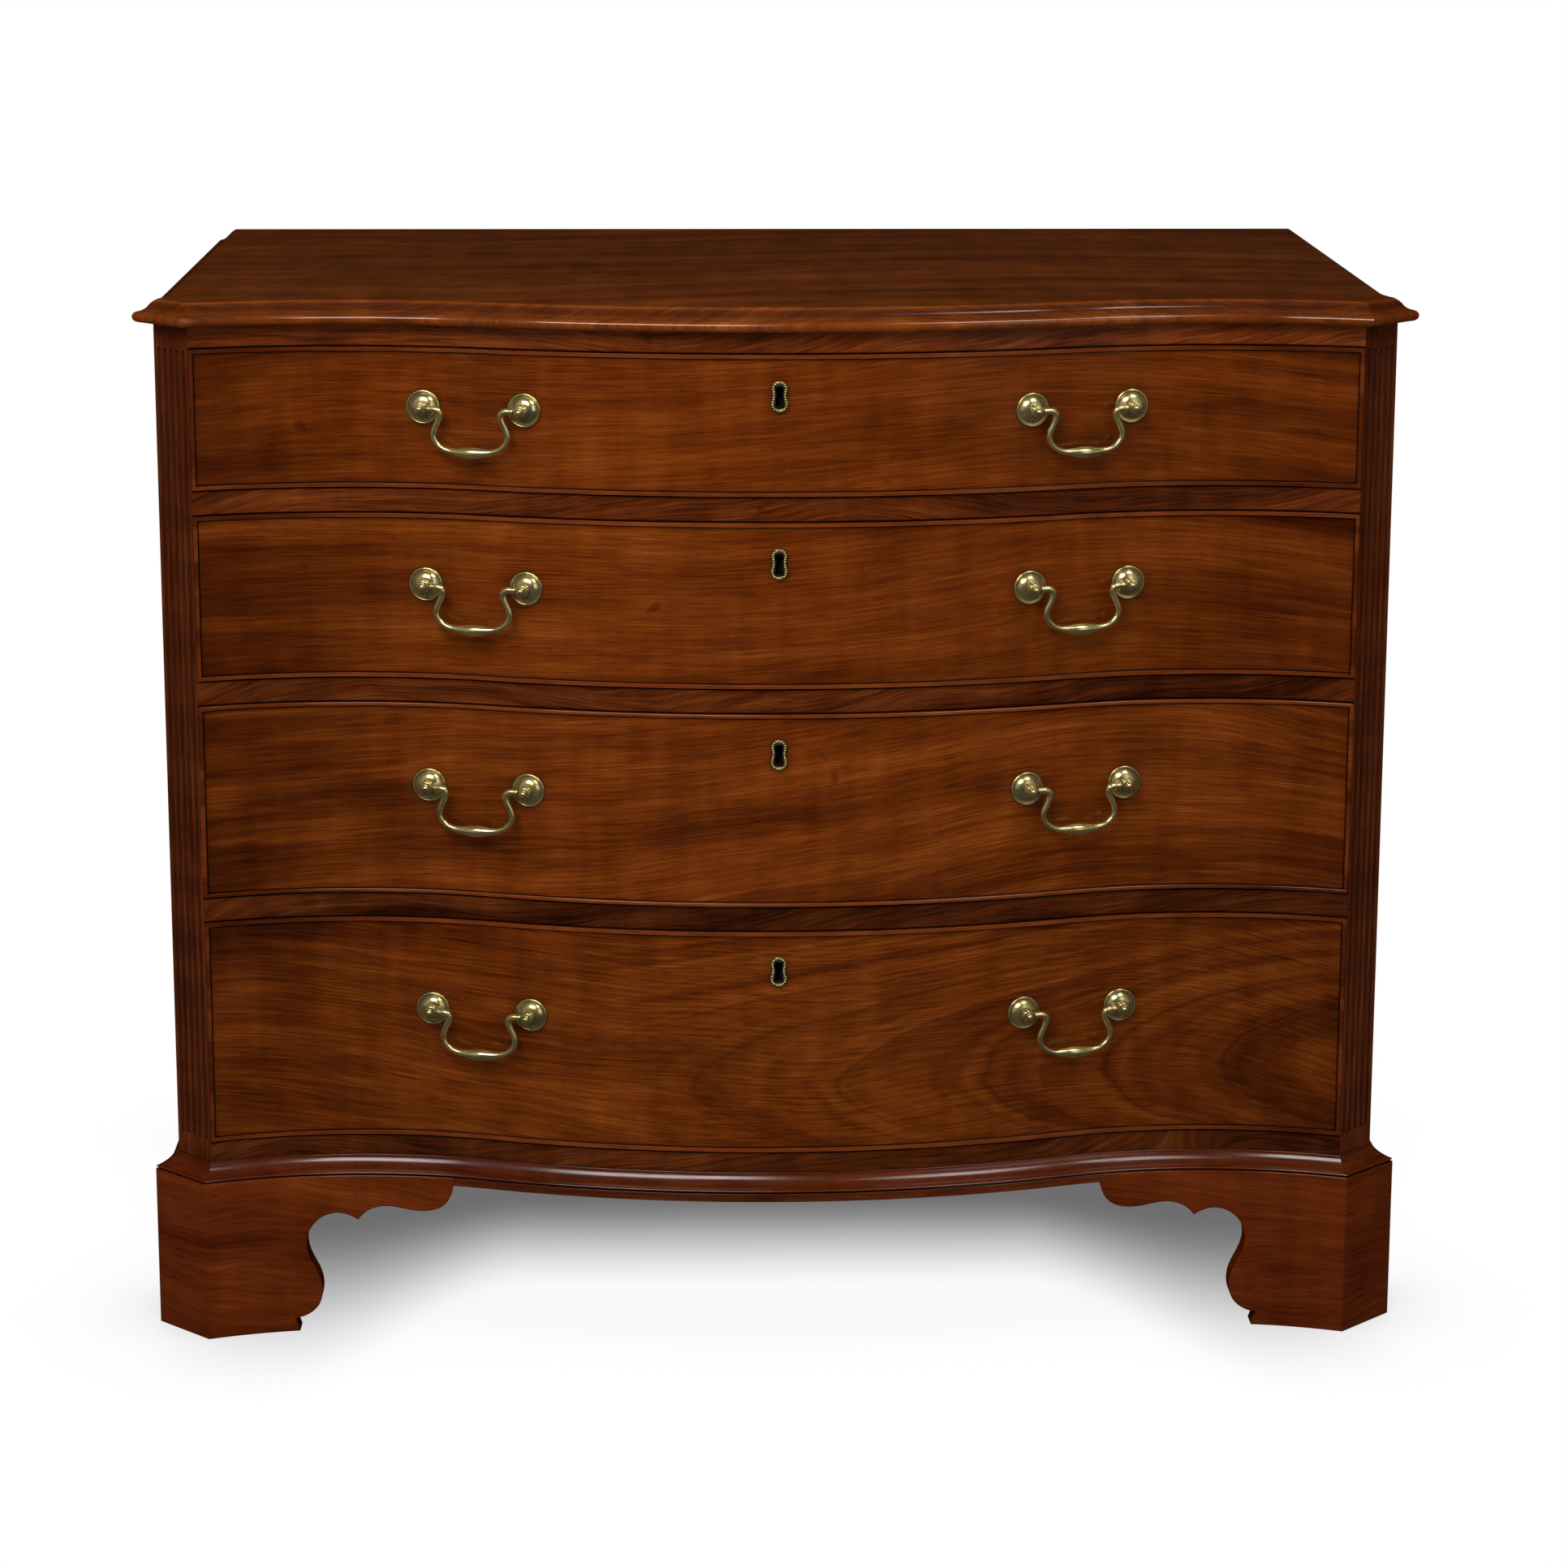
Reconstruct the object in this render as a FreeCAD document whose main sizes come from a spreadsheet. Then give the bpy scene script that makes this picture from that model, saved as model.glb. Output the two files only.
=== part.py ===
import FreeCAD, Part
import math
import os

import Sketcher

# A serpentine chest of four graduated drawers on shaped bracket feet, in millimetres.
# Z is up and the front faces -Y. The origin is on the floor, in the middle of the whole depth and width.

doc = FreeCAD.newDocument("serpentine_chest")
sheet = doc.addObject("Spreadsheet::Sheet", "Sheet")
Vector = FreeCAD.Vector
UP = Vector(0, 0, 1)

SIZES = (
    # Plan of the carcass
    ("carcass_width", 1030.0),
    ("carcass_depth", 648.0),
    ("corner_cant", 31.0),
    ("side_recess", 7.5),
    ("sweep_length", 38.0),
    ("bulge_radius", 768.0),
    ("hollow_radius", 378.0),
    ("hollow_offset", 360.0),
    # Heights, from the floor up
    ("foot_height", 139.0),
    ("bottom_rail_height", 32.0),
    ("opening_four", 194.0),
    ("opening_three", 166.0),
    ("opening_two", 140.0),
    ("opening_one", 118.0),
    ("divider_height", 20.5),
    ("top_rail_height", 18.5),
    ("top_thickness", 19.0),
    # Edges and mouldings
    ("top_overhang", 14.2),
    ("top_step", 1.9),
    ("top_fillet", 1.0),
    ("top_nose_radius", 4.6),
    ("base_projection", 16.4),
    ("base_moulding_height", 19.0),
    ("base_cove_reach", 7.4),
    ("base_fillet", 1.6),
    ("base_quirk", 1.0),
    ("base_ledge", 1.2),
    ("foot_thickness", 20.0),
    ("bracket_length", 210.6),
    ("plinth_height", 7.0),
    ("glue_block", 40.0),
    # Corner stiles
    ("flute_radius", 2.6),
    ("flute_depth", 1.9),
    ("flute_pitch", 7.9),
    ("flute_margin", 2.0),
    # Carcass boards and joints
    ("side_thickness", 18.0),
    ("side_tongue", 8.0),
    ("side_tongue_width", 6.0),
    ("back_thickness", 10.0),
    ("back_rebate", 9.0),
    ("bottom_thickness", 12.0),
    ("rail_tenon", 12.0),
    ("tenon_width", 22.0),
    ("tenon_shoulder", 4.0),
    ("runner_width", 44.0),
    ("dustboard_thickness", 8.0),
    ("dustboard_tongue", 6.0),
    ("guide_height", 16.0),
    ("kicker_width", 30.0),
    ("stop_offset", 150.0),
    ("stop_length", 30.0),
    ("stop_depth", 14.0),
    ("stop_height", 6.0),
    ("stop_gap", 0.5),
    # Drawers
    ("drawer_side_gap", 0.6),
    ("drawer_edge_gap", 0.8),
    ("drawer_run_gap", 0.3),
    ("drawer_guide_gap", 0.8),
    ("drawer_back_gap", 12.0),
    ("drawer_top_gap", 6.0),
    ("front_thickness", 22.0),
    ("drawer_side_thickness", 11.0),
    ("drawer_back_thickness", 11.0),
    ("drawer_bottom_thickness", 6.0),
    ("drawer_bottom_lift", 9.0),
    ("bottom_groove", 4.0),
    ("front_groove", 6.0),
    ("dovetail_lap", 8.0),
    ("dovetail_width", 24.0),
    ("dovetail_flare", 2.0),
    ("bead_thickness", 3.2),
    ("bead_projection", 2.0),
    ("bead_depth", 8.0),
    # Locks and escutcheons
    ("lock_width", 60.0),
    ("lock_height", 50.0),
    ("lock_thickness", 10.0),
    ("lock_proud", 1.0),
    ("bolt_width", 24.0),
    ("bolt_thickness", 5.0),
    ("bolt_length", 22.0),
    ("bolt_sink", 0.5),
    ("bolt_gap", 0.2),
    ("bolt_mortise_gap", 1.0),
    ("bolt_mortise_depth", 9.5),
    ("keyhole_drop", 35.0),
    ("keyhole_height", 17.0),
    ("keyhole_top_radius", 3.5),
    ("keyhole_neck", 4.8),
    ("keyhole_foot", 7.4),
    ("plate_width", 14.2),
    ("plate_top_width", 13.1),
    ("plate_waist", 11.5),
    ("plate_side_radius", 11.5),
    ("plate_thickness", 1.2),
    ("plate_border", 2.2),
    ("plate_border_rise", 0.9),
    ("plate_seat", 0.06),
    # Swan-neck handles
    ("handle_offset", 251.0),
    ("handle_drop_one", 50.0),
    ("handle_drop_two", 60.0),
    ("handle_drop_three", 71.0),
    ("handle_drop_four", 80.0),
    ("post_spacing", 84.0),
    ("rose_radius", 14.2),
    ("rose_rim", 1.9),
    ("rose_rise", 4.2),
    ("rose_seat", 0.05),
    ("post_radius", 3.0),
    ("post_hole_gap", 0.3),
    ("post_fit", 0.05),
    ("post_head_radius", 5.3),
    ("post_head_start", 7.6),
    ("post_head_length", 6.6),
    ("post_ball_radius", 3.0),
    ("nut_width", 11.0),
    ("nut_thickness", 4.0),
    ("nut_seat", 0.15),
    ("pin_radius", 1.8),
    ("pin_gap", 0.05),
    ("pin_reach", 1.5),
    ("pin_end_gap", 0.6),
    ("pin_shoulder_gap", 0.4),
    ("bail_radius", 2.5),
    ("bail_elbow", 24.0),
    ("bail_elbow_radius", 3.4),
    ("bail_neck", 12.0),
    ("bail_curve", 14.0),
    ("bail_turn", 115.0),
    ("grip_radius", 4.7),
    ("grip_length", 38.0),
    ("grip_sink", 0.4),
)
FLUTES = 5
BACK_BOARDS = 6

for row, (alias, value) in enumerate(SIZES, 1):
    sheet.set("A%d" % row, alias)
    sheet.set("B%d" % row, str(value))
    sheet.setAlias("B%d" % row, alias)
doc.recompute()


class Size:
    """A length that carries its value and the sheet expression that gives it."""

    def __init__(self, value, text):
        self.value = float(value)
        self.text = text

    def __add__(self, other):
        return Size(self.value + number(other), "(%s + %s)" % (self.text, words(other)))

    def __radd__(self, other):
        return Size(number(other) + self.value, "(%s + %s)" % (words(other), self.text))

    def __sub__(self, other):
        return Size(self.value - number(other), "(%s - %s)" % (self.text, words(other)))

    def __rsub__(self, other):
        return Size(number(other) - self.value, "(%s - %s)" % (words(other), self.text))

    def __mul__(self, other):
        return Size(self.value * number(other), "(%s * %s)" % (self.text, words(other)))

    def __rmul__(self, other):
        return Size(number(other) * self.value, "(%s * %s)" % (words(other), self.text))

    def __truediv__(self, other):
        return Size(self.value / number(other), "(%s / %s)" % (self.text, words(other)))

    def __neg__(self):
        return Size(-self.value, "(0 - %s)" % self.text)


def number(item):
    """The plain value of a size or a number."""
    return item.value if isinstance(item, Size) else float(item)


def words(item):
    """The expression text of a size or a number."""
    return item.text if isinstance(item, Size) else repr(float(item))


def root(item):
    """Square root of a size."""
    return Size(math.sqrt(item.value), "sqrt(%s)" % item.text)


def bind(item, name, size):
    """Ties a property to the sheet."""
    item.setExpression(name, words(size))


class Sheet:
    """Gives each driving dimension as an attribute."""

    def __getattr__(self, alias):
        return Size(sheet.get(alias), "Sheet.%s" % alias)


d = Sheet()

# Plan of the carcass, worked out from the driving dimensions
half_width = d.carcass_width / 2
arris_x = half_width - d.corner_cant
side_x = half_width - d.side_recess
inner_x = side_x - d.side_thickness
front_y = (d.base_projection - d.carcass_depth) / 2
back_y = front_y + d.carcass_depth
back_inside_y = back_y - d.back_thickness
bulge_y = front_y + d.bulge_radius
both_radii = d.bulge_radius + d.hollow_radius
hollow_y = bulge_y - root(both_radii * both_radii - d.hollow_offset * d.hollow_offset)
arris_step = arris_x - d.hollow_offset
arris_y = hollow_y + root(d.hollow_radius * d.hollow_radius - arris_step * arris_step)
outer_y = arris_y + d.corner_cant
sweep_y = outer_y + d.sweep_length
sweep_radius = (d.sweep_length * d.sweep_length + d.side_recess * d.side_recess) / (d.side_recess * 2)
bend = math.asin(number(d.hollow_offset / both_radii))

# Levels
base_z = d.foot_height
moulding_z = base_z + d.base_moulding_height
opening_low = {}
opening_high = {}
OPENINGS = {1: d.opening_one, 2: d.opening_two, 3: d.opening_three, 4: d.opening_four}
level = base_z + d.bottom_rail_height
for count in (4, 3, 2, 1):
    opening_low[count] = level
    opening_high[count] = level + OPENINGS[count]
    level = opening_high[count] + d.divider_height
under_top = opening_high[1] + d.top_rail_height
overall_height = under_top + d.top_thickness


def front_at(x, offset):
    """Y of the serpentine front, moved forward by offset, at a distance x from the middle."""
    x = abs(number(x))
    offset = number(offset)
    bulge = number(d.bulge_radius) + offset
    hollow = number(d.hollow_radius) - offset
    if x <= bulge * math.sin(bend):
        return number(bulge_y) - math.sqrt(bulge * bulge - x * x)
    across = x - number(d.hollow_offset)
    return number(hollow_y) + math.sqrt(hollow * hollow - across * across)


def out_at(x):
    """Unit vector pointing straight out of the serpentine front at x."""
    x = number(x)
    y = front_at(x, 0)
    if abs(x) <= number(d.bulge_radius) * math.sin(bend):
        way = Vector(x, y - number(bulge_y), 0)
    else:
        way = Vector(math.copysign(number(d.hollow_offset), x) - x, number(hollow_y) - y, 0)
    return way.normalize()


def front_path(offset, low_x, high_x):
    """Arcs of the front, moved forward by offset, from low_x to high_x."""
    turn_x = (number(d.bulge_radius) + number(offset)) * math.sin(bend)
    bulge = ((0, bulge_y), d.bulge_radius + offset, 1)
    left = ((-d.hollow_offset, hollow_y), d.hollow_radius - offset, -1)
    right = ((d.hollow_offset, hollow_y), d.hollow_radius - offset, -1)
    low_x = number(low_x)
    high_x = number(high_x)
    path = []
    for (centre, radius, turn), first, last in (
        (left, -1e6, -turn_x),
        (bulge, -turn_x, turn_x),
        (right, turn_x, 1e6),
    ):
        start = max(first, low_x)
        stop = min(last, high_x)
        if stop - start > 1e-6:
            begin = (start, front_at(start, offset))
            end = (stop, front_at(stop, offset))
            path.append(("arc", centre, radius, begin, end, turn))
    return path


def backwards(path):
    """The same path, drawn the other way."""
    turned = []
    for piece in reversed(path):
        if piece[0] == "line":
            turned.append(("line", piece[2], piece[1]))
        else:
            turned.append(("arc", piece[1], piece[2], piece[4], piece[3], -piece[5]))
    return turned


def slab_path(front_offset, back_offset, low_x, high_x):
    """A strip of even thickness that follows the front."""
    fore = front_path(front_offset, low_x, high_x)
    aft = backwards(front_path(back_offset, low_x, high_x))
    path = list(fore)
    path.append(("line", last_point(fore), first_point(aft)))
    path += aft
    path.append(("line", last_point(aft), first_point(fore)))
    return path


def board_path(front_offset, low_x, high_x, rear_y):
    """A board with a serpentine front edge and a straight back edge."""
    path = front_path(front_offset, low_x, high_x)
    path += polyline([last_point(path), (high_x, rear_y), (low_x, rear_y), first_point(path)])
    return path


def first_point(path):
    return path[0][1] if path[0][0] == "line" else path[0][3]


def last_point(path):
    return path[-1][2] if path[-1][0] == "line" else path[-1][4]


def polyline(points):
    return [("line", points[k], points[k + 1]) for k in range(len(points) - 1)]


def closed(points):
    return polyline(list(points) + [points[0]])


def meet(offset, centre, radius, near):
    """Where the cant of the right-hand corner, moved out by offset, meets a circle about centre."""
    half = math.sqrt(0.5)
    base_x = number(arris_x) + half * offset - centre[0]
    base_y = number(arris_y) - half * offset - centre[1]
    along = half * (base_x + base_y)
    rest = base_x * base_x + base_y * base_y - radius * radius
    step = math.sqrt(along * along - rest)
    travel = min((-along - step, -along + step), key=lambda value: abs(value - near))
    return (centre[0] + base_x + half * travel, centre[1] + base_y + half * travel)


def front_corner(offset):
    """Right-hand corner between the front and the cant, both moved out by offset."""
    offset = number(offset)
    centre = (number(d.hollow_offset), number(hollow_y))
    return meet(offset, centre, number(d.hollow_radius) - offset, 0)


def side_corner(offset):
    """Right-hand corner between the cant and the side, both moved out by offset."""
    offset = number(offset)
    centre = (number(side_x + sweep_radius), number(sweep_y))
    return meet(offset, centre, number(sweep_radius) - offset, number(d.corner_cant) * math.sqrt(2))


def mirror(spot):
    return (-spot[0], spot[1])


def outline(offset):
    """Closed plan of the carcass, moved out by offset everywhere but at the back."""
    fore = front_corner(offset)
    outer = side_corner(offset)
    edge = (side_x + offset, sweep_y)
    rear = (side_x + offset, back_y)
    radius = sweep_radius - offset
    right = (side_x + sweep_radius, sweep_y)
    left = (-(side_x + sweep_radius), sweep_y)
    path = front_path(offset, -fore[0], fore[0])
    path.append(("line", fore, outer))
    path.append(("arc", right, radius, outer, edge, -1))
    path += polyline([edge, rear, (-rear[0], back_y), (-edge[0], sweep_y)])
    path.append(("arc", left, radius, (-edge[0], sweep_y), mirror(outer), -1))
    path.append(("line", mirror(outer), mirror(fore)))
    return path


def spot(place):
    return Vector(number(place[0]), number(place[1]), 0)


def new_body(name):
    return doc.addObject("PartDesign::Body", name)


def new_sketch(body, role, lift=0.0):
    """A sketch on one of the body's own planes, lifted off it."""
    plane = [item for item in body.Origin.OriginFeatures if item.Role == role][0]
    sketch = body.newObject("Sketcher::SketchObject", body.Name + "_sketch")
    sketch.AttachmentSupport = [(plane, "")]
    sketch.MapMode = "FlatFace"
    bind(sketch, "AttachmentOffset.Base.z", lift)
    return sketch


def draw(sketch, path, ring=True):
    """Draws a path of lines and arcs with its corners joined and its radii tied to the sheet."""
    ends = []
    for piece in path:
        if piece[0] == "line":
            geo = sketch.addGeometry(Part.LineSegment(spot(piece[1]), spot(piece[2])), False)
            ends.append((geo, 1, 2))
            continue
        centre = spot(piece[1])
        start = spot(piece[3]) - centre
        stop = spot(piece[4]) - centre
        low = math.atan2(start.y, start.x)
        high = math.atan2(stop.y, stop.x)
        if piece[5] < 0:
            low, high = high, low
        while high < low:
            high += 2 * math.pi
        circle = Part.Circle(centre, UP, number(piece[2]))
        geo = sketch.addGeometry(Part.ArcOfCircle(circle, low, high), False)
        ends.append((geo, 1, 2) if piece[5] > 0 else (geo, 2, 1))
        place = sketch.addConstraint(Sketcher.Constraint("Radius", geo, number(piece[2])))
        bind(sketch, "Constraints[%d]" % place, piece[2])
    pairs = list(zip(ends, ends[1:] + ends[:1]))
    for end, follow in pairs if ring else pairs[:-1]:
        sketch.addConstraint(Sketcher.Constraint("Coincident", end[0], end[2], follow[0], follow[1]))


def padded(name, path, low, height, role="XY_Plane"):
    """A body made by padding one closed path."""
    body = new_body(name)
    sketch = new_sketch(body, role, low)
    draw(sketch, path)
    pad = body.newObject("PartDesign::Pad", name + "_pad")
    pad.Profile = sketch
    bind(pad, "Length", height)
    return body


def turned(name, path):
    """A body turned about its own Z axis from a closed half section."""
    body = new_body(name)
    sketch = new_sketch(body, "XZ_Plane")
    draw(sketch, path)
    spin = body.newObject("PartDesign::Revolution", name + "_turning")
    spin.Profile = sketch
    spin.ReferenceAxis = (sketch, ["V_Axis"])
    spin.Angle = 360
    return body


def block(name, x, y, z):
    """A rectangular piece between pairs of limits."""
    item = doc.addObject("Part::Box", name)
    for side, axis, (low, high) in (("Length", "x", x), ("Width", "y", y), ("Height", "z", z)):
        bind(item, side, high - low)
        bind(item, "Placement.Base." + axis, low)
    return item


def cut(name, base, tool):
    item = doc.addObject("Part::Cut", name)
    item.Base = base
    item.Tool = tool
    return item


def fuse(name, parts):
    item = doc.addObject("Part::MultiFuse", name)
    item.Shapes = parts
    return item


def common(name, first, second):
    item = doc.addObject("Part::Common", name)
    item.Base = first
    item.Tool = second
    return item


def group(name, parts):
    item = doc.addObject("Part::Compound", name)
    item.Links = parts
    return item


def shaped(name, shape, placement=None):
    """A piece whose shape is worked out here from the sheet's values."""
    item = doc.addObject("Part::Feature", name)
    item.Shape = shape
    if placement is not None:
        item.Placement = placement
    return item


def prism(points, low, high):
    """An upright block over a plan of straight sides."""
    ring = [Vector(number(x), number(y), number(low)) for x, y in points]
    face = Part.Face(Part.makePolygon(ring + ring[:1]))
    return face.extrude(Vector(0, 0, number(high) - number(low)))


def waste_section(profile, radius, sign, rim):
    """Section of the waste outside a moulding, at a radius from the Z axis."""
    edges = []
    for piece in profile:
        spots = [Vector(radius + sign * reach, 0, height) for reach, height in piece]
        curve = Part.LineSegment(*spots) if len(spots) == 2 else Part.Arc(*spots)
        edges.append(curve.toShape())
    first = profile[0][0]
    last = profile[-1][-1]
    corners = (last, (rim, last[1]), (rim, first[1]), first)
    for near, far in zip(corners, corners[1:]):
        start = Vector(radius + sign * near[0], 0, near[1])
        stop = Vector(radius + sign * far[0], 0, far[1])
        edges.append(Part.makeLine(start, stop))
    return Part.Face(Part.Wire(Part.__sortEdges__(edges)))


def right_way_out(solid):
    """Turns a solid that came out inside out."""
    if solid.Volume < 0:
        solid.reverse()
    return solid


def waste_round(profile, centre, radius, sign, rim, low, high):
    """Waste along an arc of the plan, between two angles in degrees."""
    face = waste_section(profile, radius, sign, rim)
    face.rotate(Vector(0, 0, 0), UP, low)
    solid = right_way_out(face.revolve(Vector(0, 0, 0), UP, high - low))
    solid.translate(Vector(centre[0], centre[1], 0))
    return solid


def waste_straight(profile, rim, start, way, length):
    """Waste along a straight run of the plan; outwards is to the right of the way it runs."""
    face = waste_section(profile, 0, 1, rim)
    face.rotate(Vector(0, 0, 0), UP, math.degrees(math.atan2(-way[0], way[1])))
    face.translate(Vector(start[0], start[1], 0))
    return right_way_out(face.extrude(Vector(way[0] * length, way[1] * length, 0)))


def moulding_waste(name, profile, rim):
    """All that is taken off round the front, the cants and the sides to leave a moulded edge."""
    angle = math.degrees(bend)
    hollow = number(d.hollow_radius)
    offset = number(d.hollow_offset)
    sweep = number(sweep_radius)
    far = number(side_x) + sweep
    end_angle = math.degrees(math.acos(number(arris_step) / hollow)) - 12
    corner_angle = math.degrees(math.asin(number(d.sweep_length) / sweep)) + 35
    half = math.sqrt(0.5)
    overrun = 60.0
    cant_length = number(d.corner_cant) * math.sqrt(2) + 2 * overrun
    cant_x = number(arris_x) - half * overrun
    cant_y = number(arris_y) - half * overrun
    side_length = number(back_y - sweep_y) + 5
    centre_y = number(hollow_y)
    solids = [
        waste_round(profile, (0, number(bulge_y)), number(d.bulge_radius), 1, rim, 270 - angle, 270 + angle),
        waste_round(profile, (offset, centre_y), hollow, -1, rim, end_angle, 90 + angle),
        waste_round(profile, (-offset, centre_y), hollow, -1, rim, 90 - angle, 180 - end_angle),
        waste_straight(profile, rim, (cant_x, cant_y), (half, half), cant_length),
        waste_straight(profile, rim, (-cant_x - half * cant_length, cant_y + half * cant_length),
                       (half, -half), cant_length),
        waste_round(profile, (far, number(sweep_y)), sweep, -1, rim, 180, 180 + corner_angle),
        waste_round(profile, (-far, number(sweep_y)), sweep, -1, rim, -corner_angle, 0),
        waste_straight(profile, rim, (number(side_x), number(sweep_y)), (0, 1), side_length),
        waste_straight(profile, rim, (-number(side_x), number(sweep_y) + side_length), (0, -1), side_length),
    ]
    return [shaped("%s_%d" % (name, place), solid) for place, solid in enumerate(solids)]


def moulded(name, blank, waste):
    """A blank with every run of its moulding cut, one after the other."""
    item = blank
    for place, run in enumerate(waste):
        last = place == len(waste) - 1
        item = cut(name if last else "%s_run_%d" % (name, place), item, run)
    return item


nodes = []


def keep(item):
    """Marks a finished piece to be written out under its label."""
    nodes.append(item)
    return item


# Top board, with an ovolo, a fillet, a cove and a bullnose round the front and the sides
top_z = number(overall_height)
low_z = number(under_top)
nose = number(d.top_overhang)
step = number(d.top_step)
nose_radius = number(d.top_nose_radius)
nose_z = low_z + nose_radius
nose_in = nose - nose_radius
cove_z = top_z - step - number(d.top_fillet)
nose_top = nose_z + nose_radius
cove_deep = 0.3
cove_mid = (step + cove_deep * (nose_in - step), cove_z - (1 - cove_deep) * (cove_z - nose_top))
ovolo_mid = (step * math.sqrt(0.5), top_z - step * (1 - math.sqrt(0.5)))
top_profile = (
    ((0, top_z + 2), (0, top_z)),
    ((0, top_z), ovolo_mid, (step, top_z - step)),
    ((step, top_z - step), (step, cove_z)),
    ((step, cove_z), cove_mid, (nose_in, nose_top)),
    ((nose_in, nose_top), (nose, nose_z), (nose_in, low_z)),
    ((nose_in, low_z), (nose_in, low_z - 2)),
)
top_blank = padded("top_blank", outline(d.top_overhang), under_top, d.top_thickness)
top_waste = moulding_waste("top_waste", top_profile, nose + 15)
keep(moulded("top_board", top_blank, top_waste))

# Base moulding: cove, round and quirk, in five pieces mitred at the corners
reach = number(d.base_projection)
foot_top = number(base_z)
moulding_top = number(moulding_z)
cove_reach = number(d.base_cove_reach)
cove_low = foot_top + (moulding_top - foot_top) * 0.5
fillet_z = foot_top + number(d.base_fillet)
quirk = reach - number(d.base_quirk)
ledge = number(d.base_ledge)
cove_mid_reach = ledge + (cove_reach - ledge) * 0.32
base_profile = (
    ((ledge, moulding_top + 2), (ledge, moulding_top)),
    ((ledge, moulding_top), (cove_mid_reach, cove_low + (moulding_top - cove_low) * 0.36),
     (cove_reach, cove_low)),
    ((cove_reach, cove_low),
     (cove_reach + (reach - cove_reach) * 0.72, cove_low - (cove_low - fillet_z) * 0.32),
     (reach, fillet_z)),
    ((reach, fillet_z), (quirk, fillet_z)),
    ((quirk, fillet_z), (quirk, foot_top - 2)),
)
base_blank = padded("base_blank", outline(d.base_projection), base_z, d.base_moulding_height)
base_core = padded("base_core", outline(d.base_projection * 0), base_z, d.base_moulding_height)
base_ring = cut("base_ring", base_blank, base_core)
base_waste = moulding_waste("base_waste", base_profile, reach + 15)

# Mitre lines of the right-hand corner, through the corners of the inner and the outer plan
inner_offset = d.base_projection - d.foot_thickness


def along(first, second, share):
    return (first[0] + (second[0] - first[0]) * share, first[1] + (second[1] - first[1]) * share)


mitre_one_out = along(front_corner(inner_offset), front_corner(d.base_projection), 2.5)
mitre_one_in = along(front_corner(inner_offset), front_corner(d.base_projection), -1.5)
mitre_two_out = along(side_corner(inner_offset), side_corner(d.base_projection), 2.5)
mitre_two_in = along(side_corner(inner_offset), side_corner(d.base_projection), -1.5)
bracket_x = front_corner(d.base_projection)[0] - number(d.bracket_length)
bracket_y = side_corner(d.base_projection)[1] + number(d.bracket_length)
rear_bracket_y = number(back_y - d.bracket_length)
ahead_y = number(front_y) - 200
inside_y = number(sweep_y)
wide_x = number(half_width) + 200
inside_x = number(inner_x) - 60
rear_y = number(back_y) + 20


def front_zone(low_x):
    """Plan between a cut across the front at low_x and the right-hand mitre."""
    return [(low_x, ahead_y), (mitre_one_out[0], ahead_y), mitre_one_out, mitre_one_in, (low_x, inside_y)]


def cant_zone():
    return [mitre_one_out, mitre_two_out, mitre_two_in, mitre_one_in]


def side_zone(low_y, high_y):
    return [(inside_x, low_y), (wide_x, low_y), (wide_x, high_y), (inside_x, high_y)]


def corner_side_zone(high_y):
    """Plan between the second mitre and a cut across the side at high_y."""
    return [mitre_two_out, (wide_x, mitre_two_out[1]), (wide_x, high_y), (inside_x, high_y), mitre_two_in]


def flip(zone):
    return [mirror(place) for place in zone]


def part_of(name, ring, zone, low, high):
    """The part of a ring that stands over a plan."""
    return common(name, ring, shaped(name + "_zone", prism(zone, low, high)))


middle_zone = front_zone(0) + [mirror(place) for place in reversed(front_zone(0))][1:-1]
front_runs = base_waste[:3]
right_cant, left_cant, right_sweep, left_sweep, right_run, left_run = base_waste[3:]
moulding_zones = (
    ("moulding_front", middle_zone, front_runs),
    ("moulding_cant_right", cant_zone(), [right_cant]),
    ("moulding_cant_left", flip(cant_zone()), [left_cant]),
    ("moulding_side_right", corner_side_zone(rear_y), [right_sweep, right_run]),
    ("moulding_side_left", flip(corner_side_zone(rear_y)), [left_sweep, left_run]),
)
moulding_pieces = []
for name, zone, runs in moulding_zones:
    rough = part_of(name + "_rough", base_ring, zone, base_z - 1, moulding_z + 1)
    moulding_pieces.append(moulded(name, rough, runs))
keep(group("base_moulding", moulding_pieces))

# Shaped bracket feet: distances from the corner, and down from the top of the foot
BRACKET_END = ((210.6, 7.0), (208.0, 17.0), (201.5, 25.5), (189.0, 30.5), (171.0, 30.0), (152.5, 27.5),
               (139.0, 30.5), (128.2, 40.0))
BRACKET_LOBE = ((128.2, 40.0), (120.0, 35.5), (110.0, 33.5), (95.5, 38.0), (86.3, 49.0), (83.8, 59.0),
                (86.6, 74.0), (94.0, 90.0), (96.4, 103.0), (93.2, 116.0), (82.5, 125.0), (72.5, 127.0))
BRACKET_TOE = (76.7, 139.0)


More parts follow.
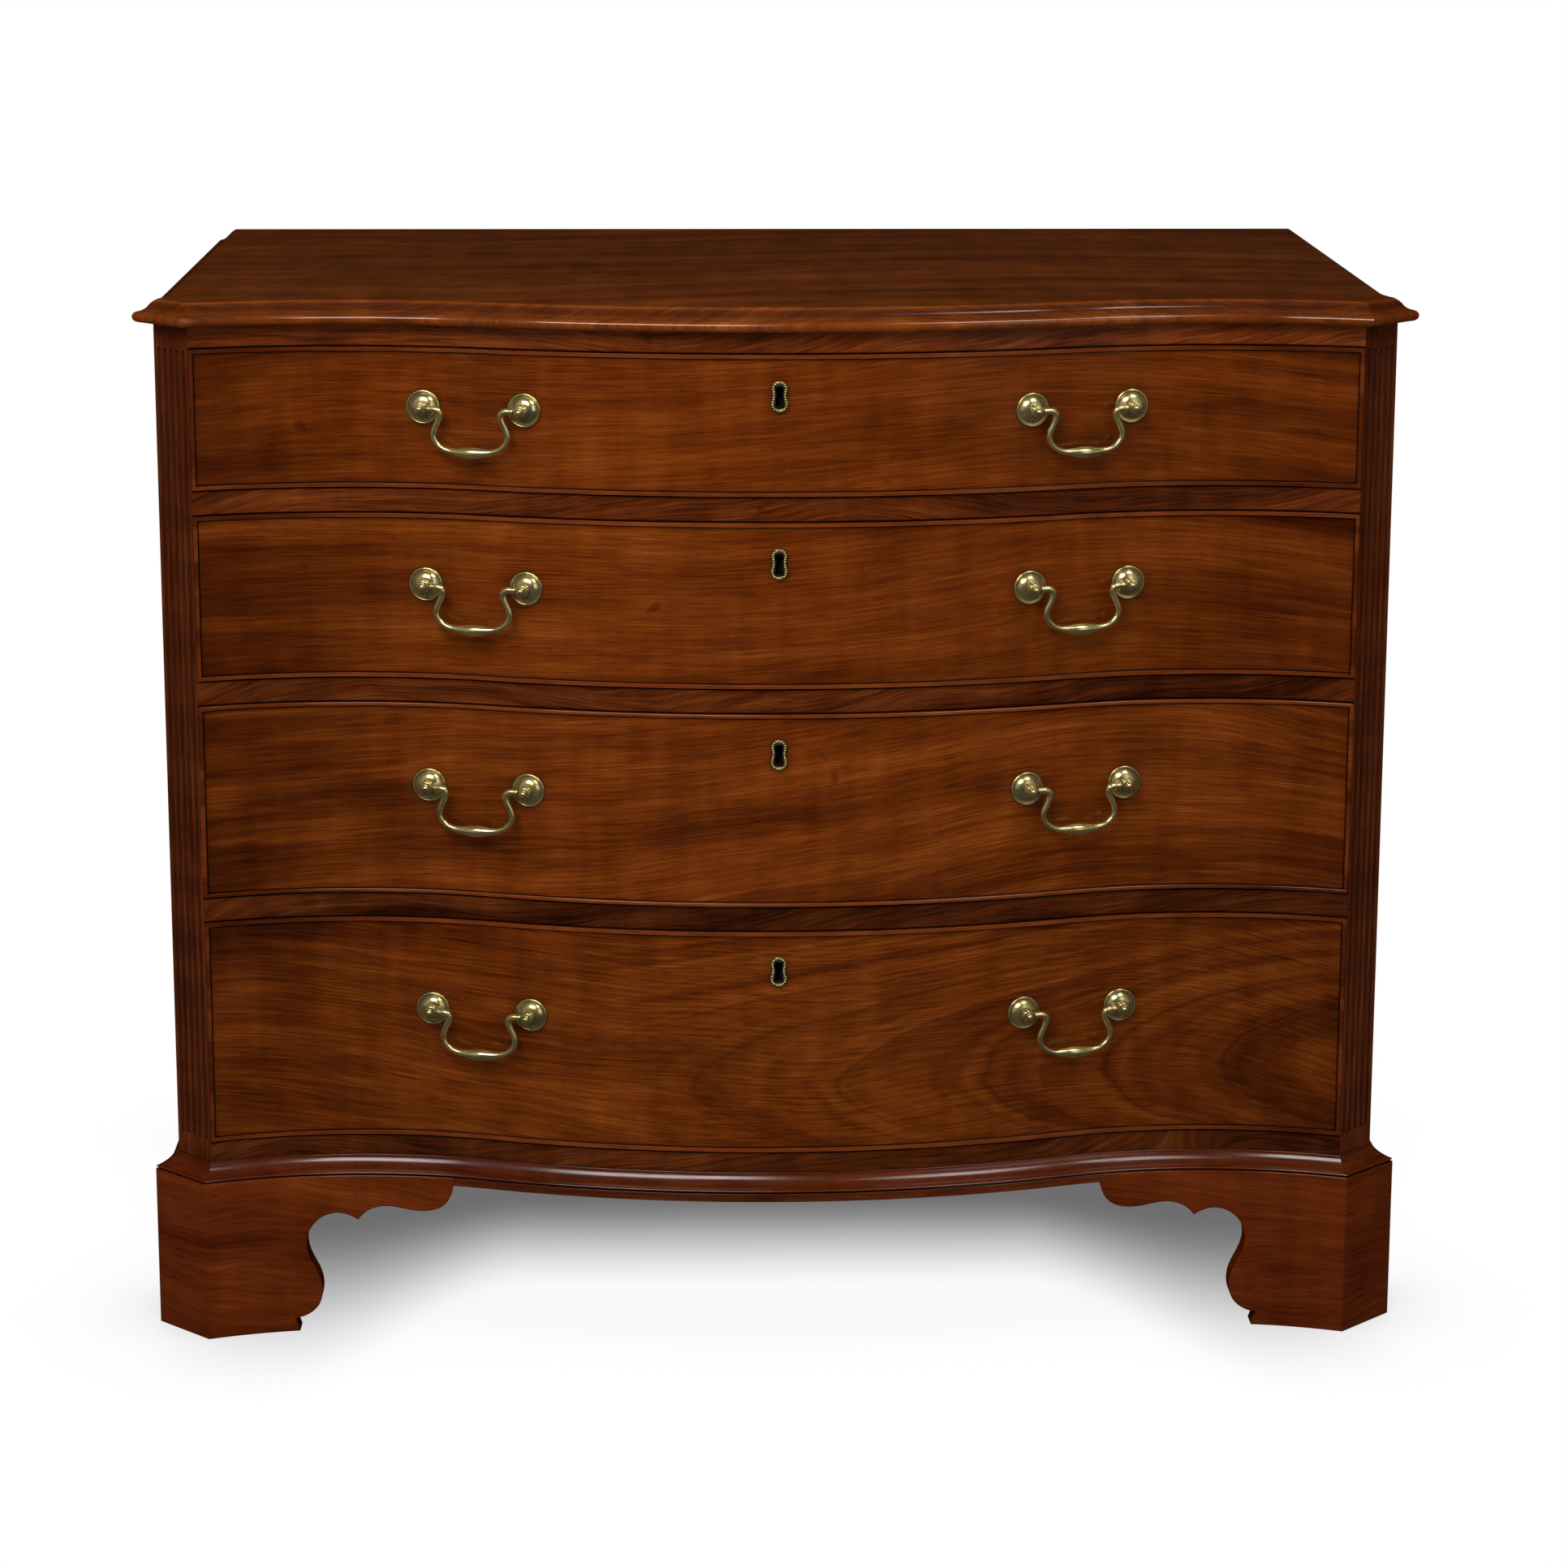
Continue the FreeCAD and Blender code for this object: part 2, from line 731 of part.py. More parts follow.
def foot_opening(start, stop):
    """Outline of the gap between two brackets, as a face in X and Z."""
    drawn_length = BRACKET_END[0][0]
    drawn_height = BRACKET_TOE[1]
    scale_x = number(d.bracket_length) / drawn_length
    scale_z = number(d.foot_height) / drawn_height
    lip = number(base_z - d.plinth_height)

    def place(from_start, point):
        run = point[0] * scale_x
        across = start + run if from_start else stop - run
        height = number(base_z) - point[1] * scale_z
        if point == BRACKET_END[0]:
            height = lip
        return Vector(across, 0, height)

    edges = []
    for from_start in (True, False):
        for points in (BRACKET_END, BRACKET_LOBE):
            curve = Part.BSplineCurve()
            curve.interpolate([place(from_start, point) for point in points])
            edges.append(curve.toShape())
        toe = place(from_start, BRACKET_TOE)
        under = Vector(toe.x, 0, -5)
        edges.append(Part.makeLine(place(from_start, BRACKET_LOBE[-1]), toe))
        edges.append(Part.makeLine(toe, under))
    edges.append(Part.makeLine(place(True, BRACKET_END[0]), place(False, BRACKET_END[0])))
    left = place(True, BRACKET_TOE)
    right = place(False, BRACKET_TOE)
    edges.append(Part.makeLine(Vector(left.x, 0, -5), Vector(right.x, 0, -5)))
    return Part.Face(Part.Wire(Part.__sortEdges__(edges)))


foot_blank = padded("foot_blank", outline(d.base_projection), d.foot_height * 0, d.foot_height)
foot_core = padded("foot_core", outline(inner_offset), d.foot_height * 0, d.foot_height)
foot_ring = cut("foot_ring", foot_blank, foot_core)
front_gap = foot_opening(-front_corner(d.base_projection)[0], front_corner(d.base_projection)[0])
front_gap.translate(Vector(0, ahead_y, 0))
front_gap = front_gap.extrude(Vector(0, inside_y - ahead_y, 0))
side_gap = foot_opening(side_corner(d.base_projection)[1], number(back_y))
side_gap.rotate(Vector(0, 0, 0), UP, 90)
side_gap.translate(Vector(-wide_x, 0, 0))
side_gap = side_gap.extrude(Vector(2 * wide_x, 0, 0))
foot_shape = cut("foot_shape", foot_ring, shaped("foot_gaps", front_gap.fuse(side_gap)))

rear_gap = foot_opening(-number(side_x + d.base_projection), number(side_x + d.base_projection))
rear_gap.translate(Vector(0, number(back_y) - 100, 0))
rear_gap = rear_gap.extrude(Vector(0, 200, 0))
rear_gap = shaped("rear_gap", rear_gap)
foot_inside_x = side_x + inner_offset
rear_board_x = side_x + d.base_projection - d.bracket_length
for hand, sign in (("right", 1), ("left", -1)):
    turn = flip if sign < 0 else list
    pieces = [
        part_of("bracket_front_" + hand, foot_shape, turn(front_zone(bracket_x)), -1, base_z + 1),
        part_of("bracket_cant_" + hand, foot_shape, turn(cant_zone()), -1, base_z + 1),
        part_of("bracket_side_" + hand, foot_shape, turn(corner_side_zone(bracket_y)), -1, base_z + 1),
    ]
    span = (foot_inside_x - d.glue_block, foot_inside_x)
    span = span if sign > 0 else (-span[1], -span[0])
    pieces.append(block("foot_block_front_" + hand, span, (sweep_y, sweep_y + d.glue_block), (5.0, base_z)))
    keep(group("foot_front_" + hand, pieces))
    low_y = back_y - d.foot_thickness
    board = (rear_board_x, foot_inside_x)
    board = board if sign > 0 else (-board[1], -board[0])
    board = block("rear_board_" + hand, board, (low_y, back_y), (d.foot_height * 0, base_z))
    pieces = [
        part_of("bracket_rear_" + hand, foot_shape, turn(side_zone(rear_bracket_y, rear_y)), -1, base_z + 1),
        cut("rear_bracket_" + hand, board, rear_gap),
        block("foot_block_rear_" + hand, span, (low_y - d.glue_block, low_y), (5.0, base_z)),
    ]
    keep(group("foot_rear_" + hand, pieces))
plinth_zones = (
    ("plinth_front", [(-bracket_x, ahead_y), (bracket_x, ahead_y),
                      (bracket_x, inside_y), (-bracket_x, inside_y)]),
    ("plinth_right", side_zone(bracket_y, rear_bracket_y)),
    ("plinth_left", flip(side_zone(bracket_y, rear_bracket_y))),
)
strips = [part_of(name, foot_shape, zone, -1, base_z + 1) for name, zone in plinth_zones]
keep(group("plinth_strips", strips))

# Dustboards, runners, guides, kickers and stops inside the carcass
runner_x = inner_x - d.runner_width
dustboards = {}
runner_parts = []
levels = {1: opening_high[2], 2: opening_high[3], 3: opening_high[4]}
for count, low in levels.items():
    middle = low + d.divider_height / 2
    dust_x = runner_x + d.dustboard_tongue
    dustboards[count] = block(
        "dustboard_%d" % count, (-dust_x, dust_x), (sweep_y - d.dustboard_tongue, back_inside_y),
        (middle - d.dustboard_thickness / 2, middle + d.dustboard_thickness / 2))
bottom_low = opening_low[4] - d.bottom_thickness * 2
bottom_mid = bottom_low + d.bottom_thickness
for hand, sign in (("right", 1), ("left", -1)):
    def across(low, high):
        return (low, high) if sign > 0 else (-high, -low)

    for count, low in levels.items():
        rough = block("runner_rough_%d_%s" % (count, hand), across(runner_x, inner_x),
                      (sweep_y, back_inside_y), (low, low + d.divider_height))
        runner_parts.append(cut("runner_%d_%s" % (count, hand), rough, dustboards[count]))
    runner_parts.append(block("runner_4_" + hand, across(runner_x, inner_x), (sweep_y, back_inside_y),
                              (bottom_mid, opening_low[4])))
    guide_x = arris_x - d.drawer_side_gap + d.drawer_guide_gap
    for count in OPENINGS:
        low = opening_low[count]
        runner_parts.append(block("guide_%d_%s" % (count, hand), across(guide_x, inner_x),
                                  (sweep_y, back_inside_y), (low, low + d.guide_height)))
        stop_x = d.stop_offset + d.stop_length
        stop_y = front_at(stop_x, -d.front_thickness) + d.stop_gap
        runner_parts.append(block("stop_%d_%s" % (count, hand), across(d.stop_offset, stop_x),
                                  (stop_y, stop_y + d.stop_depth), (low, low + d.stop_height)))
    runner_parts.append(block("kicker_" + hand, across(inner_x - d.kicker_width, inner_x),
                              (sweep_y, back_inside_y), (opening_high[1], under_top)))
keep(group("dustboards", list(dustboards.values())))
keep(group("drawer_runners", runner_parts))
keep(block("bottom_board", (-inner_x, inner_x), (sweep_y, back_inside_y), (bottom_low, bottom_mid)))

# Rails between the drawers, tenoned into the corner stiles and mortised for the lock bolts
lock_y = front_y + d.front_thickness + d.lock_proud - d.lock_thickness
bolt_mid_y = lock_y + d.lock_thickness / 2
tenon_back = sweep_y - d.side_tongue - d.tenon_shoulder
tenon_y = (tenon_back - d.tenon_width, tenon_back)
RAILS = (
    ("top_rail", opening_high[1], d.top_rail_height, True),
    ("divider_1", opening_high[2], d.divider_height, True),
    ("divider_2", opening_high[3], d.divider_height, True),
    ("divider_3", opening_high[4], d.divider_height, True),
    ("bottom_rail", base_z, d.bottom_rail_height, False),
)
rails = []
for name, low, height, locked in RAILS:
    core = padded(name + "_core", board_path(d.base_projection * 0, -arris_x, arris_x, sweep_y), low, height)
    tenon_z = (low + d.tenon_shoulder, low + height - d.tenon_shoulder)
    right = block(name + "_tenon_right", (arris_x, arris_x + d.rail_tenon), tenon_y, tenon_z)
    left = block(name + "_tenon_left", (-arris_x - d.rail_tenon, -arris_x), tenon_y, tenon_z)
    parts = [core, right, left]
    if not locked:
        rails.append(keep(fuse(name, parts)))
        continue
    rough = fuse(name + "_rough", parts)
    slot_x = d.bolt_width / 2 + d.bolt_mortise_gap
    slot_y = d.bolt_thickness / 2 + d.bolt_mortise_gap
    slot = block(name + "_mortise", (-slot_x, slot_x), (bolt_mid_y - slot_y, bolt_mid_y + slot_y),
                 (low, low + d.bolt_mortise_depth))
    if name.startswith("divider"):
        rough = cut(name + "_grooved", rough, dustboards[int(name[-1])])
    rails.append(keep(cut(name, rough, slot)))

# Sides with a tongue into the stiles, and fluted corner stiles
board_height = under_top - base_z
tongue_mid = inner_x + d.side_thickness / 2
for hand, sign in (("right", 1), ("left", -1)):
    def across(low, high):
        return (low, high) if sign > 0 else (-high, -low)

    panel = block("panel_" + hand, across(inner_x, side_x), (sweep_y, back_y), (base_z, under_top))
    tongue = block("tongue_" + hand, across(tongue_mid - d.side_tongue_width / 2,
                                            tongue_mid + d.side_tongue_width / 2),
                   (sweep_y - d.side_tongue, sweep_y), (base_z, under_top))
    rebate = block("rebate_" + hand, across(inner_x, inner_x + d.back_rebate), (back_inside_y, back_y),
                   (base_z, under_top))
    side = keep(cut("side_" + hand, fuse("side_rough_" + hand, [panel, tongue]), rebate))

    def at(x, y):
        return (x * sign, y)

    stile = new_body("stile_" + hand)
    sketch = new_sketch(stile, "XY_Plane", base_z)
    path = [
        ("line", at(arris_x, sweep_y), at(arris_x, arris_y)),
        ("line", at(arris_x, arris_y), at(half_width, outer_y)),
        ("arc", at(side_x + sweep_radius, sweep_y), sweep_radius, at(half_width, outer_y),
         at(side_x, sweep_y), -sign),
        ("line", at(side_x, sweep_y), at(arris_x, sweep_y)),
    ]
    draw(sketch, path)
    pad = stile.newObject("PartDesign::Pad", "stile_%s_pad" % hand)
    pad.Profile = sketch
    bind(pad, "Length", board_height)
    doc.recompute()
    plain = stile.Shape.Volume
    flutes = new_sketch(stile, "XY_Plane", opening_low[4] + d.flute_margin)
    proud = d.flute_radius - d.flute_depth
    for count in range(FLUTES):
        shift = d.flute_pitch * (count - (FLUTES - 1) / 2)
        half = math.sqrt(0.5)
        x = arris_x + d.corner_cant / 2 + (shift + proud) * half
        y = arris_y + d.corner_cant / 2 + (shift - proud) * half
        circle = flutes.addGeometry(Part.Circle(spot(at(x, y)), UP, number(d.flute_radius)), False)
        place = flutes.addConstraint(Sketcher.Constraint("Radius", circle, number(d.flute_radius)))
        bind(flutes, "Constraints[%d]" % place, d.flute_radius)
    pocket = stile.newObject("PartDesign::Pocket", "stile_%s_flutes" % hand)
    pocket.Profile = flutes
    pocket.Reversed = True
    bind(pocket, "Length", opening_high[1] - opening_low[4] - d.flute_margin * 2)
    doc.recompute()
    if not stile.Shape.Volume < plain:
        raise RuntimeError("the flutes cut nothing")
    jointed = stile
    for rail in rails:
        jointed = cut("stile_%s_%s" % (hand, rail.Label), jointed, rail)
    keep(cut("corner_stile_" + hand, jointed, side))

# Back boards, laid across the back in the rebates
board_x = inner_x + d.back_rebate
board_step = board_height / BACK_BOARDS
boards = []
for count in range(BACK_BOARDS):
    boards.append(block("back_board_%d" % (count + 1), (-board_x, board_x), (back_inside_y, back_y),
                        (base_z + board_step * count, base_z + board_step * (count + 1))))
keep(group("back_boards", boards))

# Patterns for the brass: one rose, one post, one bail, cast alike for every handle
bore = d.post_radius + d.post_fit
rim_in = d.rose_radius - d.rose_rim
rise = number(d.rose_rise)
dome_start = (number(rim_in) - 0.5, 0.8)
dome_end = (number(bore), rise)
run = dome_start[0] - dome_end[0]
drop = dome_end[1] - dome_start[1]
dome_radius = (run * run + drop * drop) / (2 * drop)
rose_pattern = turned("rose_pattern", closed([
    (bore, 0), (d.rose_radius, 0), (d.rose_radius, 0.9), (d.rose_radius - 0.5, 1.4), (rim_in + 0.4, 1.4),
    (rim_in, 0.8)]) [:-1] + [
    ("line", (rim_in, 0.8), dome_start),
    ("arc", (dome_end[0], rise - dome_radius), dome_radius, dome_start, dome_end, 1),
    ("line", dome_end, (bore, 0)),
])
head_end = d.post_head_start + d.post_head_length
ball_low = math.sqrt(number(d.post_ball_radius) ** 2 - 2.5 ** 2)
ball_z = head_end + ball_low
shank_end = d.front_thickness + d.nut_thickness + 1.5
post_pattern = turned("post_pattern", polyline([
    (0, -shank_end), (d.post_radius, -shank_end), (d.post_radius, d.post_head_start - 1.2),
    (d.post_head_radius - 0.5, d.post_head_start), (d.post_head_radius, d.post_head_start + 0.8),
    (d.post_head_radius, head_end - 0.8), (d.post_head_radius - 0.9, head_end), (2.5, head_end)]) + [
    ("arc", (0, ball_z), d.post_ball_radius, (2.5, head_end), (0, ball_z + d.post_ball_radius), 1),
    ("line", (0, ball_z + d.post_ball_radius), (0, -shank_end)),
])
nut_low = -(d.front_thickness + d.nut_thickness + d.nut_seat)
nut_rough = block("nut_rough", (-d.nut_width / 2, d.nut_width / 2), (-d.nut_width / 2, d.nut_width / 2),
                  (nut_low, nut_low + d.nut_thickness))
nut_bore = doc.addObject("Part::Cylinder", "nut_bore")
bind(nut_bore, "Radius", bore)
bind(nut_bore, "Height", d.nut_thickness * 2)
bind(nut_bore, "Placement.Base.z", nut_low - d.nut_thickness / 2)
nut_pattern = cut("nut_pattern", nut_rough, nut_bore)

pin_rise = d.post_head_start + d.post_head_length / 2
hollow_sag = d.rose_radius * d.rose_radius / (d.hollow_radius * 2)


def post_place(x):
    """Foot of a handle's post on the drawer front and the way it points, at x."""
    way = out_at(x)
    face = Vector(number(x), front_at(x, 0), 0)
    bulged = abs(number(x)) <= number(d.bulge_radius) * math.sin(bend)
    lift = number(d.rose_seat) + (0 if bulged else number(hollow_sag))
    return face + way * lift, way


near_x = d.handle_offset - d.post_spacing / 2
far_x = d.handle_offset + d.post_spacing / 2
heads = []
for x in (near_x, far_x):
    foot, way = post_place(x)
    heads.append(foot + way * number(pin_rise))
chord = heads[1] - heads[0]
pin_span = chord.Length
chord_angle = math.degrees(math.atan2(chord.y, chord.x))
chord_middle = (heads[0] + heads[1]) * 0.5

bail_pattern = new_body("bail_pattern")
turn = math.radians(number(d.bail_turn))
end_x = pin_span / 2 + number(d.pin_reach)
elbow_r = number(d.bail_elbow_radius)
elbow_x = number(d.bail_elbow) + elbow_r
neck_top = (elbow_x - elbow_r * math.sin(turn), -elbow_r + elbow_r * math.cos(turn))
neck_way = (-math.cos(turn), -math.sin(turn))
neck_end = (neck_top[0] + neck_way[0] * number(d.bail_neck), neck_top[1] + neck_way[1] * number(d.bail_neck))
curve_r = number(d.bail_curve)
curve_centre = (neck_end[0] - math.sin(turn) * curve_r, neck_end[1] + math.cos(turn) * curve_r)
grip_z = curve_centre[1] - curve_r
right_half = [
    ("line", (0, grip_z), (curve_centre[0], grip_z)),
    ("arc", curve_centre, d.bail_curve, (curve_centre[0], grip_z), neck_end, 1),
    ("line", neck_end, neck_top),
    ("arc", (elbow_x, -elbow_r), d.bail_elbow_radius, neck_top, (elbow_x, 0), -1),
    ("line", (elbow_x, 0), (end_x, 0)),
]
left_half = []
for piece in right_half:
    if piece[0] == "line":
        left_half.append(("line", mirror(piece[1]), mirror(piece[2])))
    else:
        left_half.append(("arc", mirror(piece[1]), piece[2], mirror(piece[3]), mirror(piece[4]), -piece[5]))
whole = backwards(left_half)
whole = whole[:-1] + [("line", whole[-1][1], right_half[0][2])] + right_half[1:]
shoulder = pin_span / 2 - number(d.post_head_radius) - number(d.pin_shoulder_gap)
whole[0] = ("line", (-shoulder, 0), whole[0][2])
whole[-1] = ("line", whole[-1][1], (shoulder, 0))
spine = new_sketch(bail_pattern, "XZ_Plane")
draw(spine, whole, ring=False)
section = new_sketch(bail_pattern, "YZ_Plane", -shoulder)
circle = section.addGeometry(Part.Circle(Vector(0, 0, 0), UP, number(d.bail_radius)), False)
place = section.addConstraint(Sketcher.Constraint("Radius", circle, number(d.bail_radius)))
bind(section, "Constraints[%d]" % place, d.bail_radius)
pipe = bail_pattern.newObject("PartDesign::AdditivePipe", "bail_arms")
pipe.Profile = section
pipe.Spine = (spine, [])
doc.recompute()
grip_half = d.grip_length / 2
grip_end = d.bail_radius - d.grip_sink
swell = number(d.grip_radius - grip_end)
swell_radius = (number(grip_half) ** 2 + swell * swell) / (2 * swell)
grip_edge = grip_z + grip_end
grip = new_sketch(bail_pattern, "XZ_Plane")
draw(grip, [
    ("line", (-grip_half, grip_z), (grip_half, grip_z)),
    ("line", (grip_half, grip_z), (grip_half, grip_edge)),
    ("arc", (0, grip_z + number(d.grip_radius) - swell_radius), swell_radius, (grip_half, grip_edge),
     (-grip_half, grip_edge), 1),
    ("line", (-grip_half, grip_edge), (-grip_half, grip_z)),
])
grip.addGeometry(Part.LineSegment(spot((-grip_half, grip_z)), spot((grip_half, grip_z))), True)
spin = bail_pattern.newObject("PartDesign::Revolution", "bail_grip")
spin.Profile = grip
spin.ReferenceAxis = (grip, ["Axis0"])
spin.Angle = 360
doc.recompute()
# The pins at the two ends are thinner than the arms, so that they turn in the post heads
for hand, low in (("right", shoulder), ("left", -end_x)):
    stub = new_sketch(bail_pattern, "YZ_Plane", low)
    circle = stub.addGeometry(Part.Circle(Vector(0, 0, 0), UP, number(d.pin_radius)), False)
    place = stub.addConstraint(Sketcher.Constraint("Radius", circle, number(d.pin_radius)))
    bind(stub, "Constraints[%d]" % place, d.pin_radius)
    pad = bail_pattern.newObject("PartDesign::Pad", "bail_pin_" + hand)
    pad.Profile = stub
    pad.Length = end_x - shoulder
doc.recompute()

# Drawers
DROPS = {1: d.handle_drop_one, 2: d.handle_drop_two, 3: d.handle_drop_three, 4: d.handle_drop_four}
drawer_x = arris_x - d.drawer_side_gap
drawer_in_x = drawer_x - d.drawer_side_thickness
rear_face = back_inside_y - d.drawer_back_gap
rear_shoulder = rear_face - d.drawer_back_thickness
tail_tip = front_at(drawer_in_x, 0) + d.dovetail_lap
tail_root = front_at(drawer_x, -d.front_thickness)


def tails(low, high, root_y, tip_y):
    """Corners of the dovetails up one end of a drawer side, from low to high."""
    count = max(2, int(round(number(high - low) / (1.6 * number(d.dovetail_width)))))
    pitch = (high - low) / count
    wide = pitch * 0.36
    narrow = wide - d.dovetail_flare
    points = []
    for k in range(count):
        middle = low + pitch * (k + 0.5)
        points += [(root_y, middle - narrow), (tip_y, middle - wide), (tip_y, middle + wide),
                   (root_y, middle + narrow)]
    return points


def keyhole(middle):
    """Outline of a keyhole about a height, in X and Z."""
    tall = d.keyhole_height / 2
    ring = d.keyhole_top_radius
    neck = d.keyhole_neck / 2
    centre = middle + tall - ring
    join = centre - math.sqrt(number(ring) ** 2 - number(neck) ** 2)
    foot = d.keyhole_foot / 2
    return [
        ("line", (-foot, middle - tall), (foot, middle - tall)),
        ("line", (foot, middle - tall), (neck, join)),
        ("arc", (0, centre), ring, (neck, join), (-neck, join), 1),
        ("line", (-neck, join), (-foot, middle - tall)),
    ]


def plate_path(middle, inset):
    """Outline of an escutcheon, two round ends and a waist between them, drawn in by inset."""
    top = d.plate_top_width / 2
    foot = d.plate_width / 2
    side = d.plate_side_radius
    waist = d.plate_waist / 2
    side_at = waist + side
    rise = math.sqrt(number(top - waist) * number(top + waist + side * 2))
    fall = math.sqrt(number(foot - waist) * number(foot + waist + side * 2))
    lift = (number(foot - top) + rise + fall) / 2
    high = middle + lift
    low = middle + (lift - rise - fall)
    level = middle + (lift - rise)
    high_share = number(top - inset) / number(top + side)
    low_share = number(foot - inset) / number(foot + side)
    high_spot = (number(side_at) * high_share, number(high) - rise * high_share)
    low_spot = (number(side_at) * low_share, number(low) + fall * low_share)
    return [
        ("arc", (side_at, level), side + inset, low_spot, high_spot, -1),
        ("arc", (0, high), top - inset, high_spot, mirror(high_spot), 1),
        ("arc", (-side_at, level), side + inset, mirror(high_spot), mirror(low_spot), -1),
        ("arc", (0, low), foot - inset, mirror(low_spot), low_spot, 1),
    ]


for count in (1, 2, 3, 4):
    name = "drawer_%d_" % count
    low = opening_low[count] + d.drawer_edge_gap
    high = opening_high[count] - d.drawer_edge_gap
    side_low = opening_low[count] + d.drawer_run_gap
    side_high = opening_high[count] - d.drawer_top_gap
    floor_low = side_low + d.drawer_bottom_lift
    floor_high = floor_low + d.drawer_bottom_thickness

    # Cockbead let into the four edges of the front
    proud = d.bead_projection
    deep = -d.bead_depth
    band = d.bead_thickness
    edge = slab_path(proud, deep, -drawer_x, drawer_x)
    right = slab_path(proud, deep, drawer_x - band, drawer_x)
    left = slab_path(proud, deep, -drawer_x, -(drawer_x - band))
    upright = high - low - band * 2
    beads = [
        padded(name + "bead_low", edge, low, band),
        padded(name + "bead_high", edge, high - band, band),
        padded(name + "bead_right", right, low + band, upright),
        padded(name + "bead_left", left, low + band, upright),
    ]
    bead = keep(group(name + "cockbead", beads))

    # Bottom, sides and back
    floor_x = drawer_in_x + d.bottom_groove
    floor_path = board_path(d.front_groove - d.front_thickness, -floor_x, floor_x, rear_face)
    floor = keep(padded(name + "bottom", floor_path, floor_low, d.drawer_bottom_thickness))
    ends = [(tail_root, side_low)] + tails(side_low, side_high, tail_root, tail_tip)
    ends += [(tail_root, side_high), (rear_shoulder, side_high)]
    ends += list(reversed(tails(floor_high, side_high, rear_shoulder, rear_face)))
    ends += [(rear_shoulder, side_low)]
    sides = []
    for hand, start in (("right", drawer_in_x), ("left", -drawer_x)):
        rough = padded(name + "side_rough_" + hand, closed(ends), start, d.drawer_side_thickness, "YZ_Plane")
        sides.append(cut(name + "side_" + hand, rough, floor))
    pair = keep(group(name + "sides", sides))
    rough = block(name + "back_rough", (-drawer_x, drawer_x), (rear_shoulder, rear_face),
                  (floor_high, side_high))
    keep(cut(name + "back", rough, pair))

    # Lock let into the back of the front, its bolt, and the escutcheon over the keyhole
    lock_x = d.lock_width / 2
    case = block(name + "lock_case", (-lock_x, lock_x), (lock_y, lock_y + d.lock_thickness),
                 (high - d.lock_height, high))
    bolt_x = d.bolt_width / 2
    bolt_y = d.bolt_thickness / 2
    bolt_high = high - d.bolt_sink
    bolt = keep(block(name + "lock_bolt", (-bolt_x, bolt_x), (bolt_mid_y - bolt_y, bolt_mid_y + bolt_y),
                      (bolt_high - d.bolt_length, bolt_high)))
    slot = block(name + "bolt_slot", (-bolt_x - d.bolt_gap, bolt_x + d.bolt_gap),
                 (bolt_mid_y - bolt_y - d.bolt_gap, bolt_mid_y + bolt_y + d.bolt_gap),
                 (bolt_high - d.bolt_length - d.bolt_gap, high))
    key_z = opening_high[count] - d.keyhole_drop
    plate = new_body(name + "plate_rough")
    sketch = new_sketch(plate, "XZ_Plane", -front_y + d.plate_seat)
    draw(sketch, plate_path(key_z, d.plate_border * 0))
    pad = plate.newObject("PartDesign::Pad", name + "plate_pad")
    pad.Profile = sketch
    bind(pad, "Length", d.plate_thickness)
    border = new_sketch(plate, "XZ_Plane", -front_y + d.plate_seat)
    draw(border, plate_path(key_z, d.plate_border * 0))
    draw(border, plate_path(key_z, d.plate_border))
    rim = plate.newObject("PartDesign::Pad", name + "plate_border")
    rim.Profile = border
    bind(rim, "Length", d.plate_thickness + d.plate_border_rise)
    doc.recompute()
    hole_depth = lock_y - front_y + d.front_thickness
    hole = padded(name + "keyhole", keyhole(key_z), -lock_y, hole_depth, "XZ_Plane")
    escutcheon = cut(name + "escutcheon", plate, hole)
    lock = keep(group(name + "lock", [cut(name + "lock_body", case, slot), escutcheon]))

    # Handles
    handle_z = opening_high[count] - DROPS[count]
    height = Vector(0, 0, number(handle_z))
    holes = []
    mounts = []
    for hand, sign in (("right", 1), ("left", -1)):
        axle = Vector(chord.x * sign, chord.y, 0)
        middle = Vector(chord_middle.x * sign, chord_middle.y, number(handle_z))
        angle = chord_angle * sign
        bail_place = FreeCAD.Placement(middle, FreeCAD.Rotation(UP, angle))
        keep(shaped(name + "bail_" + hand, bail_pattern.Shape.copy(), bail_place))
        for which, x in (("near", near_x), ("far", far_x)):
            key = name + "%s_%s_" % (hand, which)
            foot, way = post_place(number(x) * sign)
            seat = FreeCAD.Placement(foot + height, FreeCAD.Rotation(UP, way))
            mounts.append(shaped(key + "rose", rose_pattern.Shape.copy(), seat))
            face = Vector(number(x) * sign, front_at(x, 0), number(handle_z))
            nut_seat = FreeCAD.Placement(face, FreeCAD.Rotation(UP, way))
            mounts.append(shaped(key + "nut", nut_pattern.Shape.copy(), nut_seat))
            head = foot + height + way * number(pin_rise)
            inward = axle.normalize() * (sign if which == "near" else -sign)
            inward = inward * (1 if (middle - head).dot(inward) > 0 else -1)
            reach_in = number(d.pin_reach + d.pin_end_gap)
            length = reach_in + number(d.post_head_radius) + 3
            bore_radius = number(d.pin_radius + d.pin_gap)
            bore_solid = Part.makeCylinder(bore_radius, length, head - inward * reach_in, inward)
            post = shaped(key + "post_rough", post_pattern.Shape.copy(), seat)
            mounts.append(cut(key + "post", post, shaped(key + "pin_bore", bore_solid)))
            drill = doc.addObject("Part::Cylinder", key + "drill")
            bind(drill, "Radius", d.post_radius + d.post_hole_gap)
            bind(drill, "Height", d.front_thickness * 2)
            start = foot + height - way * (number(d.front_thickness) * 1.5)
            drill.Placement = FreeCAD.Placement(start, FreeCAD.Rotation(UP, way))
            holes.append(drill)
    keep(group(name + "handle_mounts", mounts))

